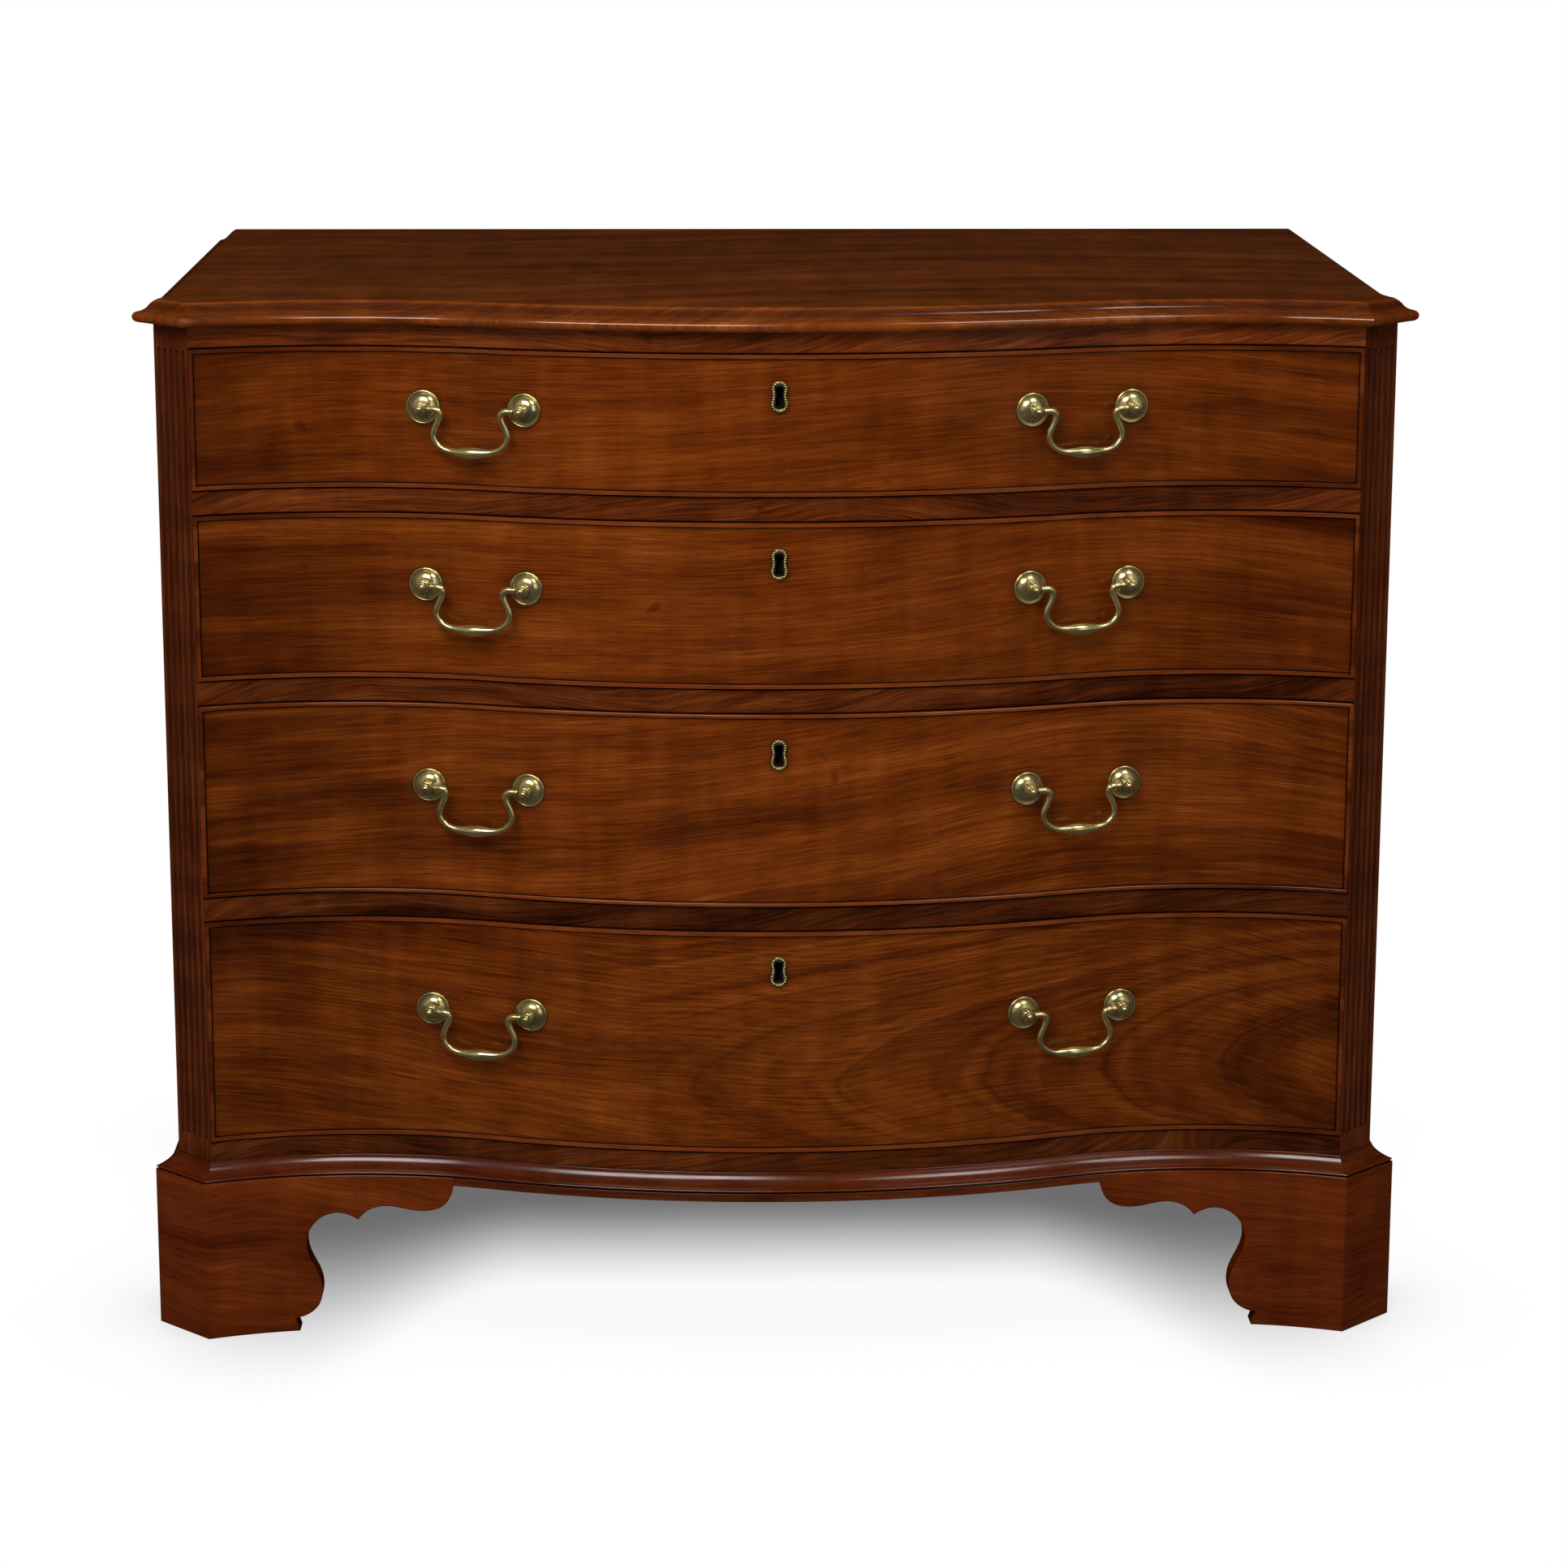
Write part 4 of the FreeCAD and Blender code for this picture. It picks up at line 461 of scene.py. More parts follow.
def joined_smooth():
    """A modifier that joins the loose triangles of a solid, crisp at its corners and smooth elsewhere."""
    group = bpy.data.node_groups.new("joined_smooth", "GeometryNodeTree")
    group.interface.new_socket("Geometry", in_out="INPUT", socket_type="NodeSocketGeometry")
    group.interface.new_socket("Geometry", in_out="OUTPUT", socket_type="NodeSocketGeometry")
    start = group.nodes.new("NodeGroupInput")
    last = group.nodes.new("NodeGroupOutput")
    join = group.nodes.new("GeometryNodeMergeByDistance")
    join.inputs["Distance"].default_value = 0.00002
    angle = group.nodes.new("GeometryNodeInputMeshEdgeAngle")
    sharp = group.nodes.new("FunctionNodeCompare")
    sharp.operation = "GREATER_THAN"
    sharp.inputs["B"].default_value = SHARP
    normals = group.nodes.new("GeometryNodeSetMeshNormal")
    normals.inputs["Remove Custom"].default_value = True
    group.links.new(start.outputs[0], join.inputs["Geometry"])
    group.links.new(join.outputs[0], normals.inputs["Mesh"])
    group.links.new(angle.outputs["Unsigned Angle"], sharp.inputs["A"])
    group.links.new(sharp.outputs[0], normals.inputs["Edge Sharpness"])
    group.links.new(normals.outputs[0], last.inputs[0])
    return group


JOINED = joined_smooth()


def dress(name, material, bevel=0.0, segments=2):
    """Gives a solid its material and, where a bevel is asked for, softens its hard edges."""
    item = nodes[name]
    item.data.materials.clear()
    item.data.materials.append(material)
    if bevel:
        item.modifiers.new("joined", "NODES").node_group = JOINED
        soften = item.modifiers.new("soften", "BEVEL")
        soften.width = bevel
        soften.segments = segments
        soften.limit_method = "ANGLE"
        soften.angle_limit = SHARP
        soften.harden_normals = True
        soften.use_clamp_overlap = True


def keyhole_level(count):
    """Height of a drawer's keyhole, measured down from the upper edge of its front."""
    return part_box("drawer_%d_front" % count)[1][2] - KEYHOLE_DROP


# Carcass. The top's edge has a painted highlight and some wear at the arris, painted shade in the ogee and
# painted light with some wear on the nose
TOP_LIGHT_AND_SHADE_BANDS = ((0.887, 0.0008, (1.6, 1.5, 1.4, 1)), (0.8828, 0.0042, (0.5, 0.38, 0.33, 1)),
             (0.8745, 0.005, (1.35, 1.2, 1.1, 1)))

# Colours that the polish gives to what it mirrors
RED_GLAZE = (1.0, 0.8, 0.5, 1.0)
RAIL_GLAZE = (1.0, 0.82, 0.55, 1.0)
FRONT_GLAZE = (1.0, 0.8, 0.4, 1.0)
CLEAR_GLAZE = (1.0, 1.0, 1.0, 1.0)

# Rails from the top down, with the seed and the shade of each: painted light on the top rail and painted
# shade on the rails below the first divider
RAIL_LIGHT_AND_SHADE = (("top_rail", 20, 1.65), ("divider_1", 21, 1.0), ("divider_2", 22, 0.82),
               ("divider_3", 23, 0.7), ("bottom_rail", 24, 0.86))

# The top's tones are scaled down by its shade: painted shade, as the lamps above light the top more than the
# front
dress("top_board", polished_wood("top_mahogany", "xy", 3, TOP_TONES, bell=(0.1, 0.2, 0.35), gloss=0.1,
                                 dull=0.18, shade=0.85, bands=TOP_LIGHT_AND_SHADE_BANDS))
for hand, seed in (("left", 5), ("right", 6)):
    # Each side's tones are raised by its shade: painted light, as the lamps in front leave the sides dim
    dress("side_" + hand,
          polished_wood("side_mahogany_" + hand, "zy", seed, STILE_TONES, 0.8, shade=1.3), 0.0006)
    # The stiles' flutes are darkened by painted shade, from the flute tint and from close ambient occlusion
    dress("corner_stile_" + hand,
          polished_wood("stile_mahogany_" + hand, "z", seed + 4, STILE_TONES, 0.3, grime_and_shade=0.7,
                        reach=0.004, contrast=0.9, shade=0.92, flute_shade=True))
    dress("foot_front_" + hand,
          polished_wood("foot_mahogany_" + hand, "x", seed + 8, FOOT_TONES, 1.5, grime_and_shade=0.4, soft=0.002,
                        contrast=0.95, shade=0.83, glaze=RED_GLAZE))
    dress("foot_rear_" + hand,
          polished_wood("rear_mahogany_" + hand, "y", seed + 12, FOOT_TONES, soft=0.002))
for name, seed, shade in RAIL_LIGHT_AND_SHADE:
    low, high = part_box(name)
    # The field paints shade and soiling along each rail's upper and lower edges, under the top and beside
    # the beads
    dress(name, polished_wood(name + "_mahogany", "x", seed, RAIL_TONES, 2.0, slope=0.12, grime_and_shade=0.75,
                              shade=shade, contrast=1.7, glaze=RAIL_GLAZE,
                              field=((-1.0, 0.0, low[2]), (1.0, 0.0, high[2]))), 0.0004)
dress("base_moulding", polished_wood("base_mahogany", "x", 26, FOOT_TONES, 0.4, grime_and_shade=0.8, gloss=0.15,
                                     shade=0.64, glaze=CLEAR_GLAZE))
dress("plinth_strips", polished_wood("plinth_mahogany", "x", 27, RAIL_TONES, 0.5, grime_and_shade=0.6), 0.0004)
dress("dustboards", dry_wood("dust_pine", "x", 31, PINE_TONES), 0.0005)
dress("drawer_runners", dry_wood("runner_oak", "y", 32, OAK_TONES))
low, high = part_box("back_boards")
dress("back_boards", dry_wood("back_pine", "x", 33, PINE_TONES,
                              (low[2], (high[2] - low[2]) / BACK_BOARDS)))
dress("bottom_board", dry_wood("bottom_pine", "x", 34, PINE_TONES), 0.0006)

# Drawers. The figure differs from front to front
# In each figure, ends paints shade towards the ends of the front
FIGURES = {
    1: dict(sway=0.45, bell=(0.04, 0.2, 0.26), ends=0.62, shade=0.92, contrast=1.05),
    2: dict(sway=0.45, slope=0.01, bell=(0.02, 0.28, 0.22), ends=0.82, shade=0.91, contrast=1.1),
    3: dict(sway=0.5, slope=0.02, bell=(0.055, 0.3, 0.3), blot=(-0.37, 0.478, 0.085, 0.024), ends=0.7,
            shade=0.9, contrast=1.25),
    4: dict(sway=0.6, slope=-0.08, bell=(0.04, 0.32, 0.25), arches=(-0.06, 0.232, 0.112),
            blot=(-0.42, 0.32, 0.06, 0.02), ends=0.45, shade=0.87, contrast=1.4),
}
brass = aged_brass("cast_brass", 1)
iron = dull_iron("bolt_iron")
for count in DRAWERS:
    name = "drawer_%d_" % count
    low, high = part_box(name + "cockbead")
    # The field is the front inside its bead; the line of painted shade and soiling runs in the joint between
    # them
    field = [[value + BEAD_WIDE for value in low], [value - BEAD_WIDE for value in high]]
    dress(name + "front",
          polished_wood(name + "mahogany", "x", 40 + count * 3, FRONT_TONES, grime_and_shade=0.85, field=field,
                        glaze=FRONT_GLAZE, **FIGURES[count]))
    # ends paints shade on the upright beads at the ends of each front
    dress(name + "cockbead",
          polished_wood(name + "bead_mahogany", "x", 60 + count, BEAD_TONES, 0.2, contrast=0.5, gloss=0.12,
                        ends=0.85), 0.0013, 3)
    dress(name + "sides", dry_wood(name + "oak", "y", 70 + count, OAK_TONES), 0.0008)
    dress(name + "back", dry_wood(name + "back_oak", "x", 75 + count, OAK_TONES), 0.0008)
    dress(name + "bottom", dry_wood(name + "bottom_oak", "x", 80 + count, OAK_TONES), 0.0004)
    low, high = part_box(name + "lock")
    keyhole = (keyhole_level(count), low[1] + 0.0005, high[1] - 0.002)
    dress(name + "lock", aged_brass(name + "lock_brass", 2, keyhole, 0.12), 0.0002)
    dress(name + "lock_bolt", iron, 0.0003)
    dress(name + "handle_mounts", brass)


def smooth_mesh(name, points, faces):
    """A new piece, smooth all over, of brass until it is given another material."""
    mesh = bpy.data.meshes.new(name)
    mesh.from_pydata(points, [], faces)
    mesh.update()
    for face in mesh.polygons:
        face.use_smooth = True
    item = bpy.data.objects.new(name, mesh)
    scene.collection.objects.link(item)
    mesh.materials.append(brass)
    return item


# Cast bails: one tube along the bent spine, thick at the elbows and swelling to the grip.
# Each row gives a point of the right half, across and up, and the radius there, in millimetres.
BAIL_HALF = ((44.5, 0.0, 1.8), (40.0, 0.0, 1.8), (37.5, 0.0, 1.85), (37.2, 0.0, 2.4), (36.6, 0.0, 2.75),
             (33.5, 0.0, 2.75), (30.6, -0.1, 2.9), (28.0, -0.9, 3.0), (26.5, -2.9, 2.9), (26.4, -5.6, 2.75),
             (27.5, -9.2, 2.6), (29.5, -13.4, 2.5), (31.3, -17.6, 2.5), (31.9, -21.6, 2.45),
             (30.9, -25.6, 2.4), (28.2, -29.3, 2.35), (24.2, -32.2, 2.35), (19.4, -34.0, 2.5),
             (14.4, -34.9, 2.95), (9.4, -35.3, 3.8), (4.6, -35.5, 4.7), (0.0, -35.6, 5.0))
BAIL_STEPS = 4

# Middle of the right-hand bail's pins, and its turn from the X axis
BAIL_X = 0.253484
BAIL_Y = -0.2860815
BAIL_TURN = math.radians(15.1918)


def bail_spine():
    """Spine of a bail from its right pin to its left, in its own X and Z, with the radius at each point."""
    knots = [tuple(value * 0.001 for value in knot) for knot in BAIL_HALF]
    knots = knots + [(-x, z, size) for x, z, size in reversed(knots[:-1])]
    spots = []
    for place in range(len(knots) - 1):
        following = knots[min(place + 2, len(knots) - 1)]
        four = [knots[max(place - 1, 0)], knots[place], knots[place + 1], following]
        for step in range(BAIL_STEPS):
            t = step / BAIL_STEPS
            spots.append(tuple(0.5 * (2 * b + (c - a) * t + (2 * a - 5 * b + 4 * c - d) * t ** 2
                                      + (3 * b - a - 3 * c + d) * t ** 3) for a, b, c, d in zip(*four)))
    return spots + [knots[-1]]


def bail(count, hand):
    """One bail, hung between its posts."""
    node = "drawer_%d_bail_%s" % (count, hand)
    sign = 1.0 if hand == "right" else -1.0
    middle = Vector((sign * BAIL_X, BAIL_Y, HANDLE_Z[count]))
    angle = BAIL_TURN * sign
    along = Vector((math.cos(angle), math.sin(angle), 0.0))
    across = Vector((-math.sin(angle), math.cos(angle), 0.0))
    spots = bail_spine()
    around = 20
    points, faces = [], []
    for place, (x, z, size) in enumerate(spots):
        before = spots[max(place - 1, 0)]
        after = spots[min(place + 1, len(spots) - 1)]
        run = Vector((after[0] - before[0], after[1] - before[1])).normalized()
        for k in range(around):
            turn = 2 * math.pi * k / around
            side = size * math.cos(turn)
            points.append(middle + along * (x - run[1] * side) + Vector((0, 0, z + run[0] * side))
                          + across * (size * math.sin(turn)))
    for place in range(len(spots) - 1):
        for k in range(around):
            after = (k + 1) % around
            faces.append((place * around + k, place * around + after, (place + 1) * around + after,
                          (place + 1) * around + k))
    faces.append(tuple(range(around - 1, -1, -1)))
    last = (len(spots) - 1) * around
    faces.append(tuple(range(last, last + around)))
    item = smooth_mesh("cast_bail_%d_%s" % (count, hand), [tuple(point) for point in points], faces)
    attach(item, "bail_%d_%s" % (count, hand))
    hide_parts(node)
    nodes[node].data.materials.clear()
    nodes[node].data.materials.append(brass)


# Mouldings, swept along the plan of the carcass so that their curves run true
BULGE_STEPS = 40
HOLLOW_STEPS = 48
CANT_STEPS = 4
SWEEP_STEPS = 10
SIDE_STEPS = 6
ARC_STEPS = 12


def cant_meets(out, centre, radius, near):
    """Where the cant, moved out, meets a circle, nearest to a length along the cant."""
    start = Vector((ARRIS_X + out * HALF, ARRIS_Y - out * HALF)) - Vector(centre)
    along = Vector((HALF, HALF))
    middle = -start.dot(along)
    reach = math.sqrt(max(middle ** 2 - start.dot(start) + radius ** 2, 0.0))
    step = min((middle - reach, middle + reach), key=lambda value: abs(value - near))
    return start + along * step + Vector(centre)


def right_plan(out):
    """Points from the middle of the front to the rear right corner, all moved out."""
    spots = []
    for k in range(BULGE_STEPS):
        turn = BEND * k / BULGE_STEPS
        spots.append(((BULGE + out) * math.sin(turn), BULGE_Y - (BULGE + out) * math.cos(turn)))
    fore = cant_meets(out, (OFFSET, HOLLOW_Y), HOLLOW - out, 0.0)
    first = -BEND
    last = math.atan2(fore.x - OFFSET, fore.y - HOLLOW_Y)
    for k in range(HOLLOW_STEPS):
        turn = first + (last - first) * k / HOLLOW_STEPS
        spots.append((OFFSET + (HOLLOW - out) * math.sin(turn), HOLLOW_Y + (HOLLOW - out) * math.cos(turn)))
    centre = Vector((SIDE_X + SWEEP, SWEEP_Y))
    outer = cant_meets(out, centre, SWEEP - out, CANT / HALF)
    spots += [tuple(fore.lerp(outer, k / CANT_STEPS)) for k in range(CANT_STEPS)]
    first = math.asin((SWEEP_Y - outer.y) / (SWEEP - out))
    for k in range(SWEEP_STEPS):
        turn = first * (1 - k / SWEEP_STEPS)
        spots.append((centre.x - (SWEEP - out) * math.cos(turn), centre.y - (SWEEP - out) * math.sin(turn)))
    length = BACK_Y - SWEEP_Y
    return spots + [(SIDE_X + out, SWEEP_Y + length * k / SIDE_STEPS) for k in range(SIDE_STEPS + 1)]


def round_through(first, middle, last, steps):
    """Points of the arc through three places, without the last."""
    (ax, ay), (bx, by), (cx, cy) = first, middle, last
    double = 2 * (ax * (by - cy) + bx * (cy - ay) + cx * (ay - by))
    squares = [x * x + y * y for x, y in (first, middle, last)]
    x = (squares[0] * (by - cy) + squares[1] * (cy - ay) + squares[2] * (ay - by)) / double
    y = (squares[0] * (cx - bx) + squares[1] * (ax - cx) + squares[2] * (bx - ax)) / double
    start = math.atan2(ay - y, ax - x)
    turn = math.atan2(cy - y, cx - x)
    side = (bx - ax) * (cy - ay) - (by - ay) * (cx - ax)
    sweep = (turn - start) % (2 * math.pi) if side > 0 else -((start - turn) % (2 * math.pi))
    radius = math.hypot(ax - x, ay - y)
    angles = [start + sweep * k / steps for k in range(steps)]
    return [(x + radius * math.cos(angle), y + radius * math.sin(angle)) for angle in angles]


def swept(name, profile, node, ring):
    """A moulding round the front, cants and sides: a ring that is open at the back, or a whole board."""
    rows = []
    for out, z in profile:
        right = right_plan(out)
        rows.append([(-x, y, z) for x, y in reversed(right[1:])] + [(x, y, z) for x, y in right])
    wide = len(rows[0])
    points = [point for row in rows for point in row]
    faces = []
    count = len(rows)
    for row in range(count if ring else count - 1):
        below = (row + 1) % count
        for k in range(wide - 1 if ring else wide):
            after = (k + 1) % wide
            faces.append((row * wide + k, below * wide + k, below * wide + after, row * wide + after))
    if ring:
        faces.append(tuple(row * wide for row in range(count)))
        faces.append(tuple(row * wide + wide - 1 for row in reversed(range(count))))
    else:
        faces.append(tuple(range(wide)))
        faces.append(tuple((count - 1) * wide + k for k in reversed(range(wide))))
    item = smooth_mesh(name, points, faces)
    item.data.set_sharp_from_angle(angle=math.radians(24.0))
    item.data.materials.clear()
    item.data.materials.append(nodes[node].data.materials[0])
    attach(item, "carcass")
    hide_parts(node)


def outline(start, arcs):
    """A section in millimetres, out and up: arcs have a middle and an end, straight runs an end alone."""
    spots = [start]
    for *middle, end in arcs:
        if middle:
            spots += round_through(spots[-1], middle[0], end, ARC_STEPS)[1:]
        spots.append(end)
    return [(x * 0.001, z * 0.001) for x, z in spots]


# The top's edge: a worn arris, an ogee and a bullnose
TOP_SECTION = outline((-3.4, 888.0), (
    ((-2.9, 887.86), (-2.5, 887.5)), ((1.0, 885.1), (3.7, 881.8)), ((7.1, 879.2), (11.2, 877.9)),
    ((14.2, 873.6), (9.6, 869.0))))
swept("top_moulded", TOP_SECTION, "top_board", False)

# The base: a lip, one wide cove, a ridge and a quirk above the feet
BASE_SECTION = outline((0.0, 139.0), (
    ((0.0, 153.5),), ((1.2, 153.5),), ((1.68, 153.3), (1.85, 152.8)), ((1.85, 152.2),),
    ((6.2, 145.8), (14.3, 142.0)), ((15.7, 141.7), (16.1, 140.9)), ((16.1, 140.7),), ((13.6, 140.7),),
    ((13.6, 139.0),)))
swept("base_moulded", BASE_SECTION, "base_moulding", True)


# Roses, posts and nuts of the handles, turned about the way out of the drawer fronts
ROSE = outline((13.4, 0.0), (
    ((14.2, 0.0),), ((14.2, 0.6),), ((13.3, 1.6), (12.4, 0.9)), ((11.7, 0.8),), ((11.5, 1.4),),
    ((8.4, 4.1), (3.2, 5.4)), ((2.2, 5.4),)))
POST = outline((1.0, -27.5), (
    ((2.6, -27.5),), ((3.0, -27.0),), ((3.0, 6.0),), ((3.5, 7.0), (4.7, 7.6)), ((5.15, 7.9), (5.3, 8.5)),
    ((5.3, 13.1),), ((5.05, 13.8), (4.3, 14.2)), ((3.2, 14.2),), ((2.6, 14.5),),
    ((2.95, 16.6), (0.2, 18.8))))
POST_PLACES = (-0.293, -0.209, 0.209, 0.293)
FRONT_THICK = 0.022
ROSE_SEAT = 0.00005
ROSE_WIDE = 0.0142
NUT_HALF = 0.0055
NUT_THICK = 0.004
NUT_GAP = 0.00015
NUT_EDGE = 0.0004


def turned(points, faces, line, foot, way, around=40):
    """Adds a closed shape turned about a way; its line gives the radius and the height."""
    up = Vector((0.0, 0.0, 1.0))
    side = way.cross(up)
    first = len(points)
    for radius, height in line:
        for k in range(around):
            angle = 2 * math.pi * (k + 0.5) / around
            spoke = up * math.cos(angle) + side * math.sin(angle)
            points.append(tuple(foot + way * height + spoke * radius))
    for row in range(len(line) - 1):
        start = first + row * around
        for k in range(around):
            after = (k + 1) % around
            faces.append((start + k, start + after, start + around + after, start + around + k))
    faces.append(tuple(first + k for k in reversed(range(around))))
    faces.append(tuple(first + (len(line) - 1) * around + k for k in range(around)))


def post_place(x):
    """Foot of a handle's post on the drawer front and the way it points."""
    hand = math.copysign(1.0, x)
    far = abs(x)
    if far <= BULGE * math.sin(BEND):
        tilt = math.asin(far / BULGE)
        foot = Vector((x, BULGE_Y - BULGE * math.cos(tilt), 0.0))
        lift = ROSE_SEAT
    else:
        tilt = math.asin((OFFSET - far) / HOLLOW)
        foot = Vector((x, HOLLOW_Y + HOLLOW * math.cos(tilt), 0.0))
        lift = ROSE_SEAT + ROSE_WIDE ** 2 / (HOLLOW * 2)
    way = Vector((hand * math.sin(tilt), -math.cos(tilt), 0.0))
    return foot + way * lift, way


def mounts(count):
    """Four roses, posts and square nuts of one drawer."""
    points, faces = [], []
    base = -FRONT_THICK - NUT_THICK - NUT_GAP
    across = NUT_HALF * math.sqrt(2.0)
    nut = ((across - NUT_EDGE * 2, base), (across, base + NUT_EDGE), (across, base + NUT_THICK - NUT_EDGE),
           (across - NUT_EDGE * 2, base + NUT_THICK))
    for x in POST_PLACES:
        foot, way = post_place(x)
        foot = foot + Vector((0.0, 0.0, HANDLE_Z[count]))
        turned(points, faces, ROSE, foot, way)
        turned(points, faces, POST, foot, way, around=32)
        turned(points, faces, nut, foot, way, around=4)
    item = smooth_mesh("drawer_%d_mounts_turned" % count, points, faces)
    item.data.set_sharp_from_angle(angle=math.radians(32.0))
    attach(item, "drawer_%d" % count)
    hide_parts("drawer_%d_handle_mounts" % count)


# Beads round the keyholes
PLATE_BEADS = 28
BEAD_INSET = 0.0013
BEAD_SINK = 0.0001


def plate_line(inset, steps):
    """Points round an escutcheon's outline, drawn in by inset, from its lowest point up the right side."""
    top, foot, waist, side = 0.00655, 0.0071, 0.00575, 0.0115
    rise = math.sqrt((top - waist) * (top + waist + 2 * side))
    fall = math.sqrt((foot - waist) * (foot + waist + 2 * side))
    lift = (foot - top + rise + fall) / 2
    level = lift - rise
    low = lift - rise - fall
    high_angle = math.atan2(-rise, waist + side)
    low_angle = math.atan2(fall, waist + side)
    reach = side + inset
    half = []
    for k in range(steps):
        turn = low_angle + math.pi + (high_angle - low_angle) * k / steps
        half.append((waist + side + reach * math.cos(turn), level + reach * math.sin(turn)))
    for k in range(steps):
        turn = high_angle + (math.pi / 2 - high_angle) * k / steps
        half.append(((top - inset) * math.cos(turn), lift + (top - inset) * math.sin(turn)))
    base = []
    for k in range(steps):
        turn = -math.pi / 2 + (low_angle + math.pi / 2) * k / steps
        base.append(((foot - inset) * math.cos(turn), low + (foot - inset) * math.sin(turn)))
    right_side = base + half + [(0.0, lift + top - inset)]
    return right_side + [(-x, z) for x, z in reversed(right_side[1:-1])]


def even_spots(line, count):
    """Places at even distances round a closed line."""
    lengths = [0.0]
    for first, second in zip(line, line[1:] + line[:1]):
        lengths.append(lengths[-1] + math.dist(first, second))
    spots = []
    for k in range(count):
        goal = lengths[-1] * k / count
        place = max(j for j in range(len(line)) if lengths[j] <= goal + 1e-12)
        share = (goal - lengths[place]) / max(lengths[place + 1] - lengths[place], 1e-9)
        first, second = line[place], line[(place + 1) % len(line)]
        spots.append((first[0] + (second[0] - first[0]) * share, first[1] + (second[1] - first[1]) * share))
    return spots


def bead_border(count):
    """A string of small beads round an escutcheon's border."""
    face_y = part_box("drawer_%d_lock" % count)[0][1] + BEAD_SINK
    middle_z = keyhole_level(count)
    points, faces = [], []
    around, steps, size = 12, 5, 0.00102
    for x, z in even_spots(plate_line(BEAD_INSET, 24), PLATE_BEADS):
        start = len(points)
        points.append((x, face_y - size, middle_z + z))
        for ring in range(1, steps):
            lean = math.pi / 2 * ring / (steps - 1)
            for k in range(around):
                turn = 2 * math.pi * k / around
                points.append((x + size * math.sin(lean) * math.cos(turn), face_y - size * math.cos(lean),
                               middle_z + z + size * math.sin(lean) * math.sin(turn)))
        for k in range(around):
            faces.append((start, start + 1 + (k + 1) % around, start + 1 + k))
        for ring in range(steps - 2):
            row = start + 1 + ring * around
            for k in range(around):
                after = (k + 1) % around
                faces.append((row + k, row + after, row + around + after, row + around + k))
    item = smooth_mesh("drawer_%d_plate_beads" % count, points, faces)
    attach(item, "drawer_%d" % count)


for count in DRAWERS:
    bead_border(count)
    mounts(count)
    bail(count, "left")
    bail(count, "right")

# Camera at the photograph's angle
FOCAL_PIXELS = 5265.3
PICTURE = 1932.0
CAMERA_PLACE = (-0.0825, -3.7768, 1.2927)
YAW, PITCH, ROLL = (math.radians(angle) for angle in (1.4360, 13.0256, -0.1127))
camera_data = bpy.data.cameras.new("camera")
camera_data.sensor_width = 36.0
camera_data.lens = FOCAL_PIXELS / PICTURE * camera_data.sensor_width
camera_data.clip_end = 50.0
camera = bpy.data.objects.new("camera", camera_data)
scene.collection.objects.link(camera)
ahead = Vector((math.sin(YAW) * math.cos(PITCH), math.cos(YAW) * math.cos(PITCH), -math.sin(PITCH)))
level = Vector((math.cos(YAW), -math.sin(YAW), 0.0))
down = ahead.cross(level)
right = level * math.cos(ROLL) + down * math.sin(ROLL)
below = down * math.cos(ROLL) - level * math.sin(ROLL)
turn = Matrix((right, -below, -ahead)).transposed()
camera.matrix_world = Matrix.Translation(CAMERA_PLACE) @ turn.to_4x4()
scene.camera = camera


# Soft boxes, all aimed at the middle of the front
AIM = (0.0, -0.3, 0.5)


def soft_box(name, place, width, height, power):
    """A rectangular lamp that the camera doesn't see."""
    data = bpy.data.lights.new(name, "AREA")
    data.shape = "RECTANGLE"
    data.size = width
    data.size_y = height
    data.energy = power
    item = bpy.data.objects.new(name, data)
    scene.collection.objects.link(item)
    item.location = place
    way = Vector(AIM) - Vector(place)
    item.rotation_euler = way.to_track_quat("-Z", "Y").to_euler()
    item.visible_camera = False
    return item


soft_box("main_box", (-0.85, -2.6, 2.6), 1.6, 1.1, 66)
soft_box("right_box", (1.9, -3.0, 1.5), 1.2, 1.6, 6)
soft_box("high_right_box", (1.25, -1.6, 2.9), 0.9, 0.9, 22)
fill = soft_box("high_left_box", (-1.25, -1.6, 2.9), 0.9, 0.9, 33)
fill.visible_glossy = False


# World
def choose(maker, share, first, second):
    """The first shader where the share is 0, and the second where it is 1."""
    node = maker.add("ShaderNodeMixShader")
    for place, socket in enumerate((share, first, second)):
        maker.put(node.inputs[place], socket)
    return node.outputs[0]


def sky(strength):
    """A cool white background."""
    colour = (0.95, 0.97, 1.0, 1.0)
    return world.add("ShaderNodeBackground", {"Color": colour, "Strength": strength}).outputs[0]


world = Shader(bpy.data.worlds.new("studio"), "ShaderNodeOutputWorld")
scene.world = world.block

# Strengths of the light on matt surfaces, and of the room, its side walls and its ceiling in the polish
DAYLIGHT = 0.26
ROOM = 0.022
WALL = 0.28
CEILING = 0.1

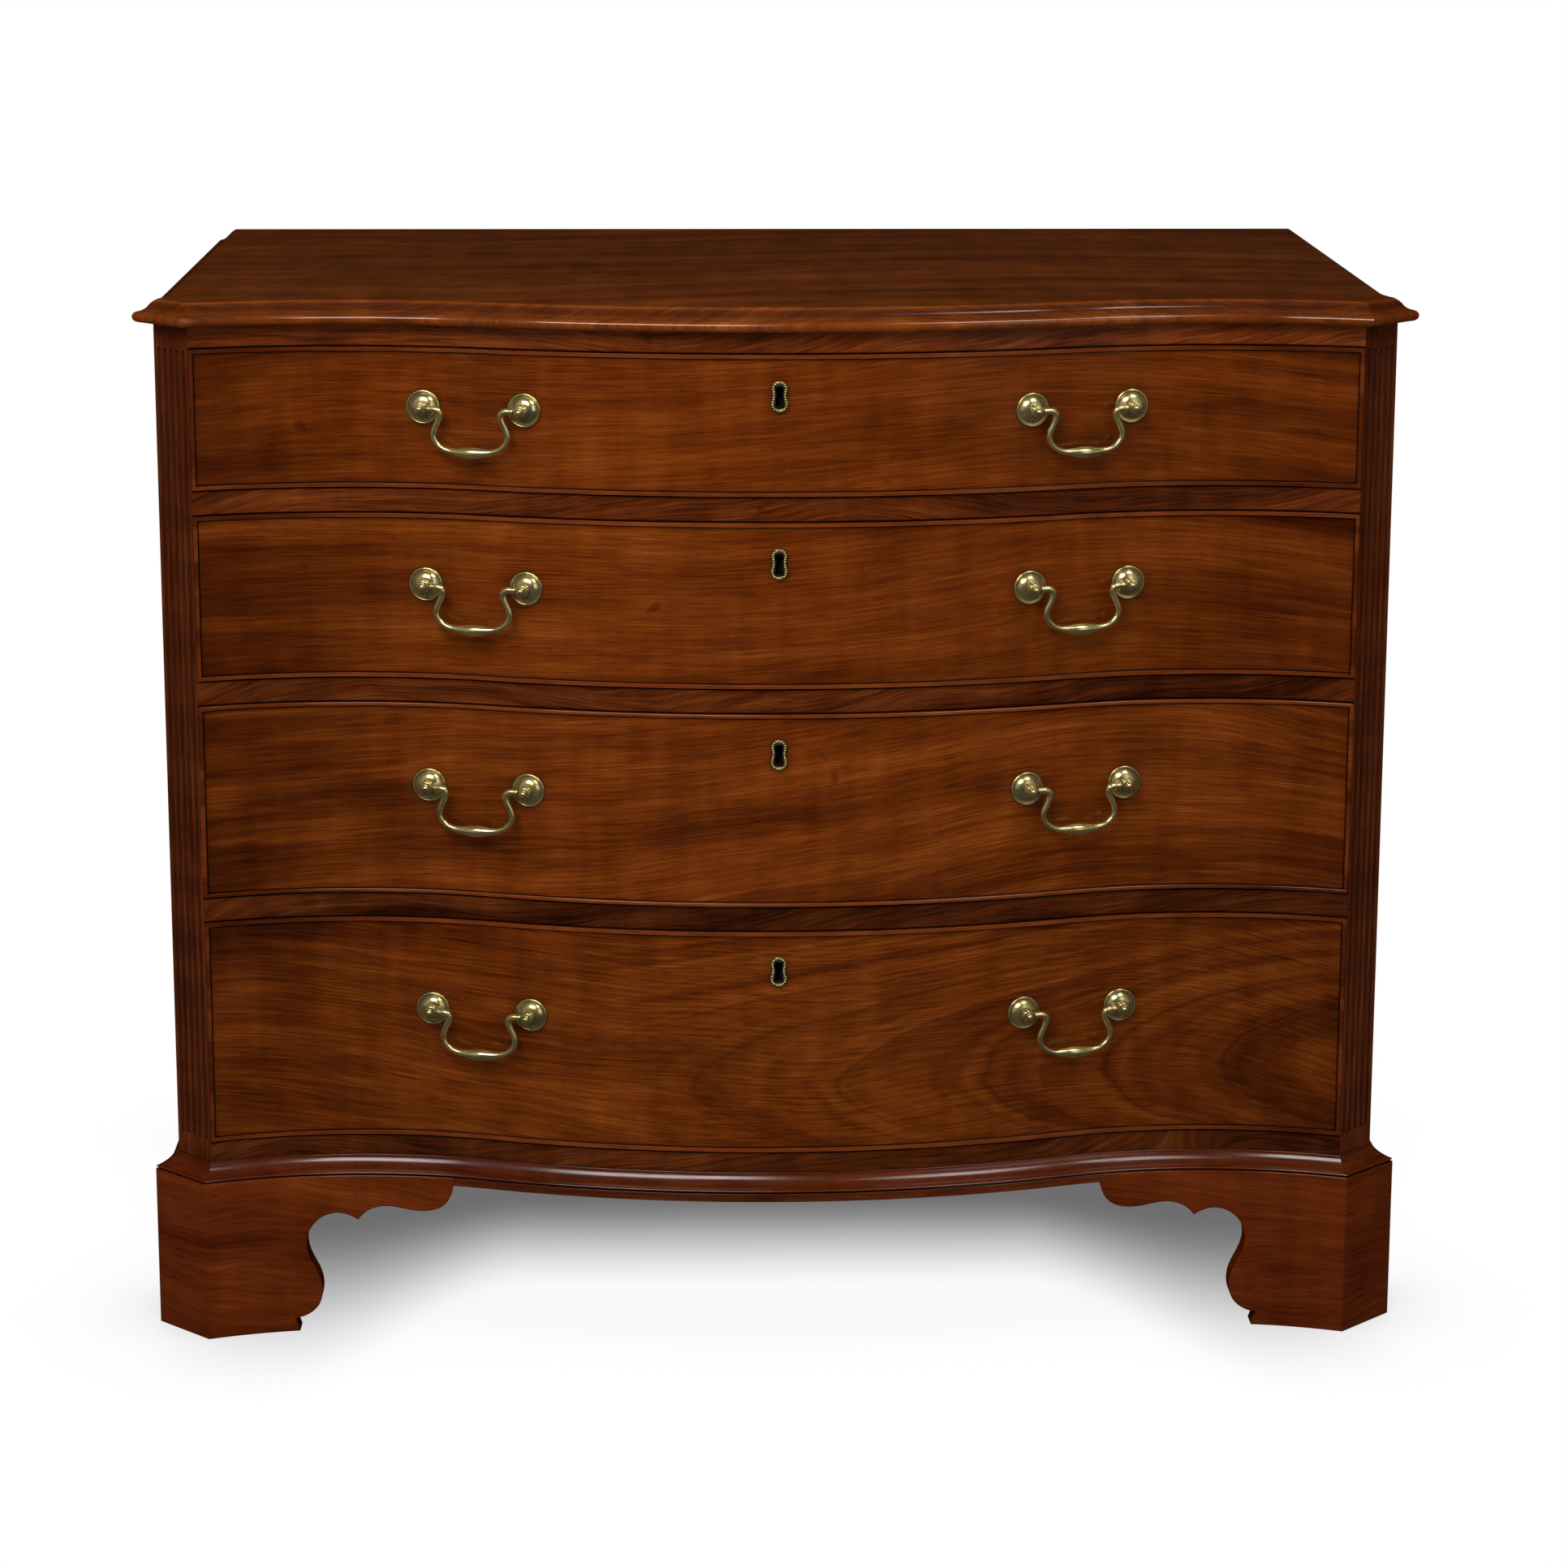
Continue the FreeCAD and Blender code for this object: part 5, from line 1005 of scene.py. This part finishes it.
# Polish mirrors a dim room with a paler wall to each side and a pale ceiling, and nothing behind
path = world.add("ShaderNodeLightPath").outputs
east, north, zenith = world.split(world.add("ShaderNodeTexCoord").outputs["Generated"])
wall = world.span(world.math("ABSOLUTE", east), 0.36, 0.56, ROOM, WALL)
wall = world.math("MULTIPLY", wall, world.span(north, -0.1, -0.45, 0.05, 1.0))
mirrored = sky(world.math("MAXIMUM", wall, world.span(zenith, 0.82, 0.95, 0.0, CEILING)))
unseen = choose(world, path["Is Glossy Ray"], sky(DAYLIGHT), mirrored)
white = world.add("ShaderNodeBackground", {"Color": (1.0, 1.0, 1.0, 1.0), "Strength": 1.0}).outputs[0]
world.put(world.out.inputs["Surface"], choose(world, path["Is Camera Ray"], unseen, white))

# Floor
FLOOR_REACH = 7.0
FLOOR_Z = -0.0004
CORNERS = ((-1, -1), (1, -1), (1, 1), (-1, 1))
floor_corners = [(x * FLOOR_REACH, y * FLOOR_REACH, FLOOR_Z) for x, y in CORNERS]
floor_mesh = bpy.data.meshes.new("floor")
floor_mesh.from_pydata(floor_corners, [], [(0, 1, 2, 3)])
floor = bpy.data.objects.new("floor", floor_mesh)
scene.collection.objects.link(floor)
ground = Shader(bpy.data.materials.new("floor_white"))
floor_x, floor_y, _ = ground.split(ground.place())
from_middle = ground.math("ABSOLUTE", floor_x)

# The shadow lies under the chest, fades towards the front and runs forward beside the feet
SHADOW = 0.845
CONTACT_SHADOW = 0.25
beside = ground.span(from_middle, 0.22, 0.42)
depth = ground.math("ADD", ground.math("MULTIPLY_ADD", beside, 0.16, floor_y), 0.061)
depth = ground.math("DIVIDE", depth, ground.math("MULTIPLY_ADD", beside, 0.09, 0.15))
under = ground.span(depth, -1.0, 1.0)
under = ground.math("MULTIPLY", under, ground.span(from_middle, 0.575, 0.44))
under = ground.math("MULTIPLY", under, ground.span(floor_y, 0.42, 0.28))
# A painted contact shadow: the floor darkens where ambient occlusion finds the chest close above it
contact = ground.add("ShaderNodeAmbientOcclusion", {"Distance": 0.16}, samples=16)
contact_shadow = ground.span(contact.outputs["AO"], 1.0, 0.3, 0.0, CONTACT_SHADOW)
bright = ground.math("SUBTRACT", 1.0, ground.math("MAXIMUM", ground.math("MULTIPLY", under, SHADOW), contact_shadow))
grey = ground.join(bright, bright, bright)
glow = ground.add("ShaderNodeEmission", {"Color": grey, "Strength": 1.0}).outputs[0]
matt = ground.add("ShaderNodeBsdfDiffuse", {"Color": (0.8, 0.8, 0.8, 1.0)}).outputs[0]
dusk = ground.add("ShaderNodeBsdfDiffuse", {"Color": (0.01, 0.01, 0.01, 1.0)}).outputs[0]
rays = ground.add("ShaderNodeLightPath").outputs
lower = choose(ground, rays["Is Glossy Ray"], matt, dusk)
ground.put(ground.out.inputs["Surface"], choose(ground, rays["Is Camera Ray"], lower, glow))
floor.data.materials.append(ground.block)
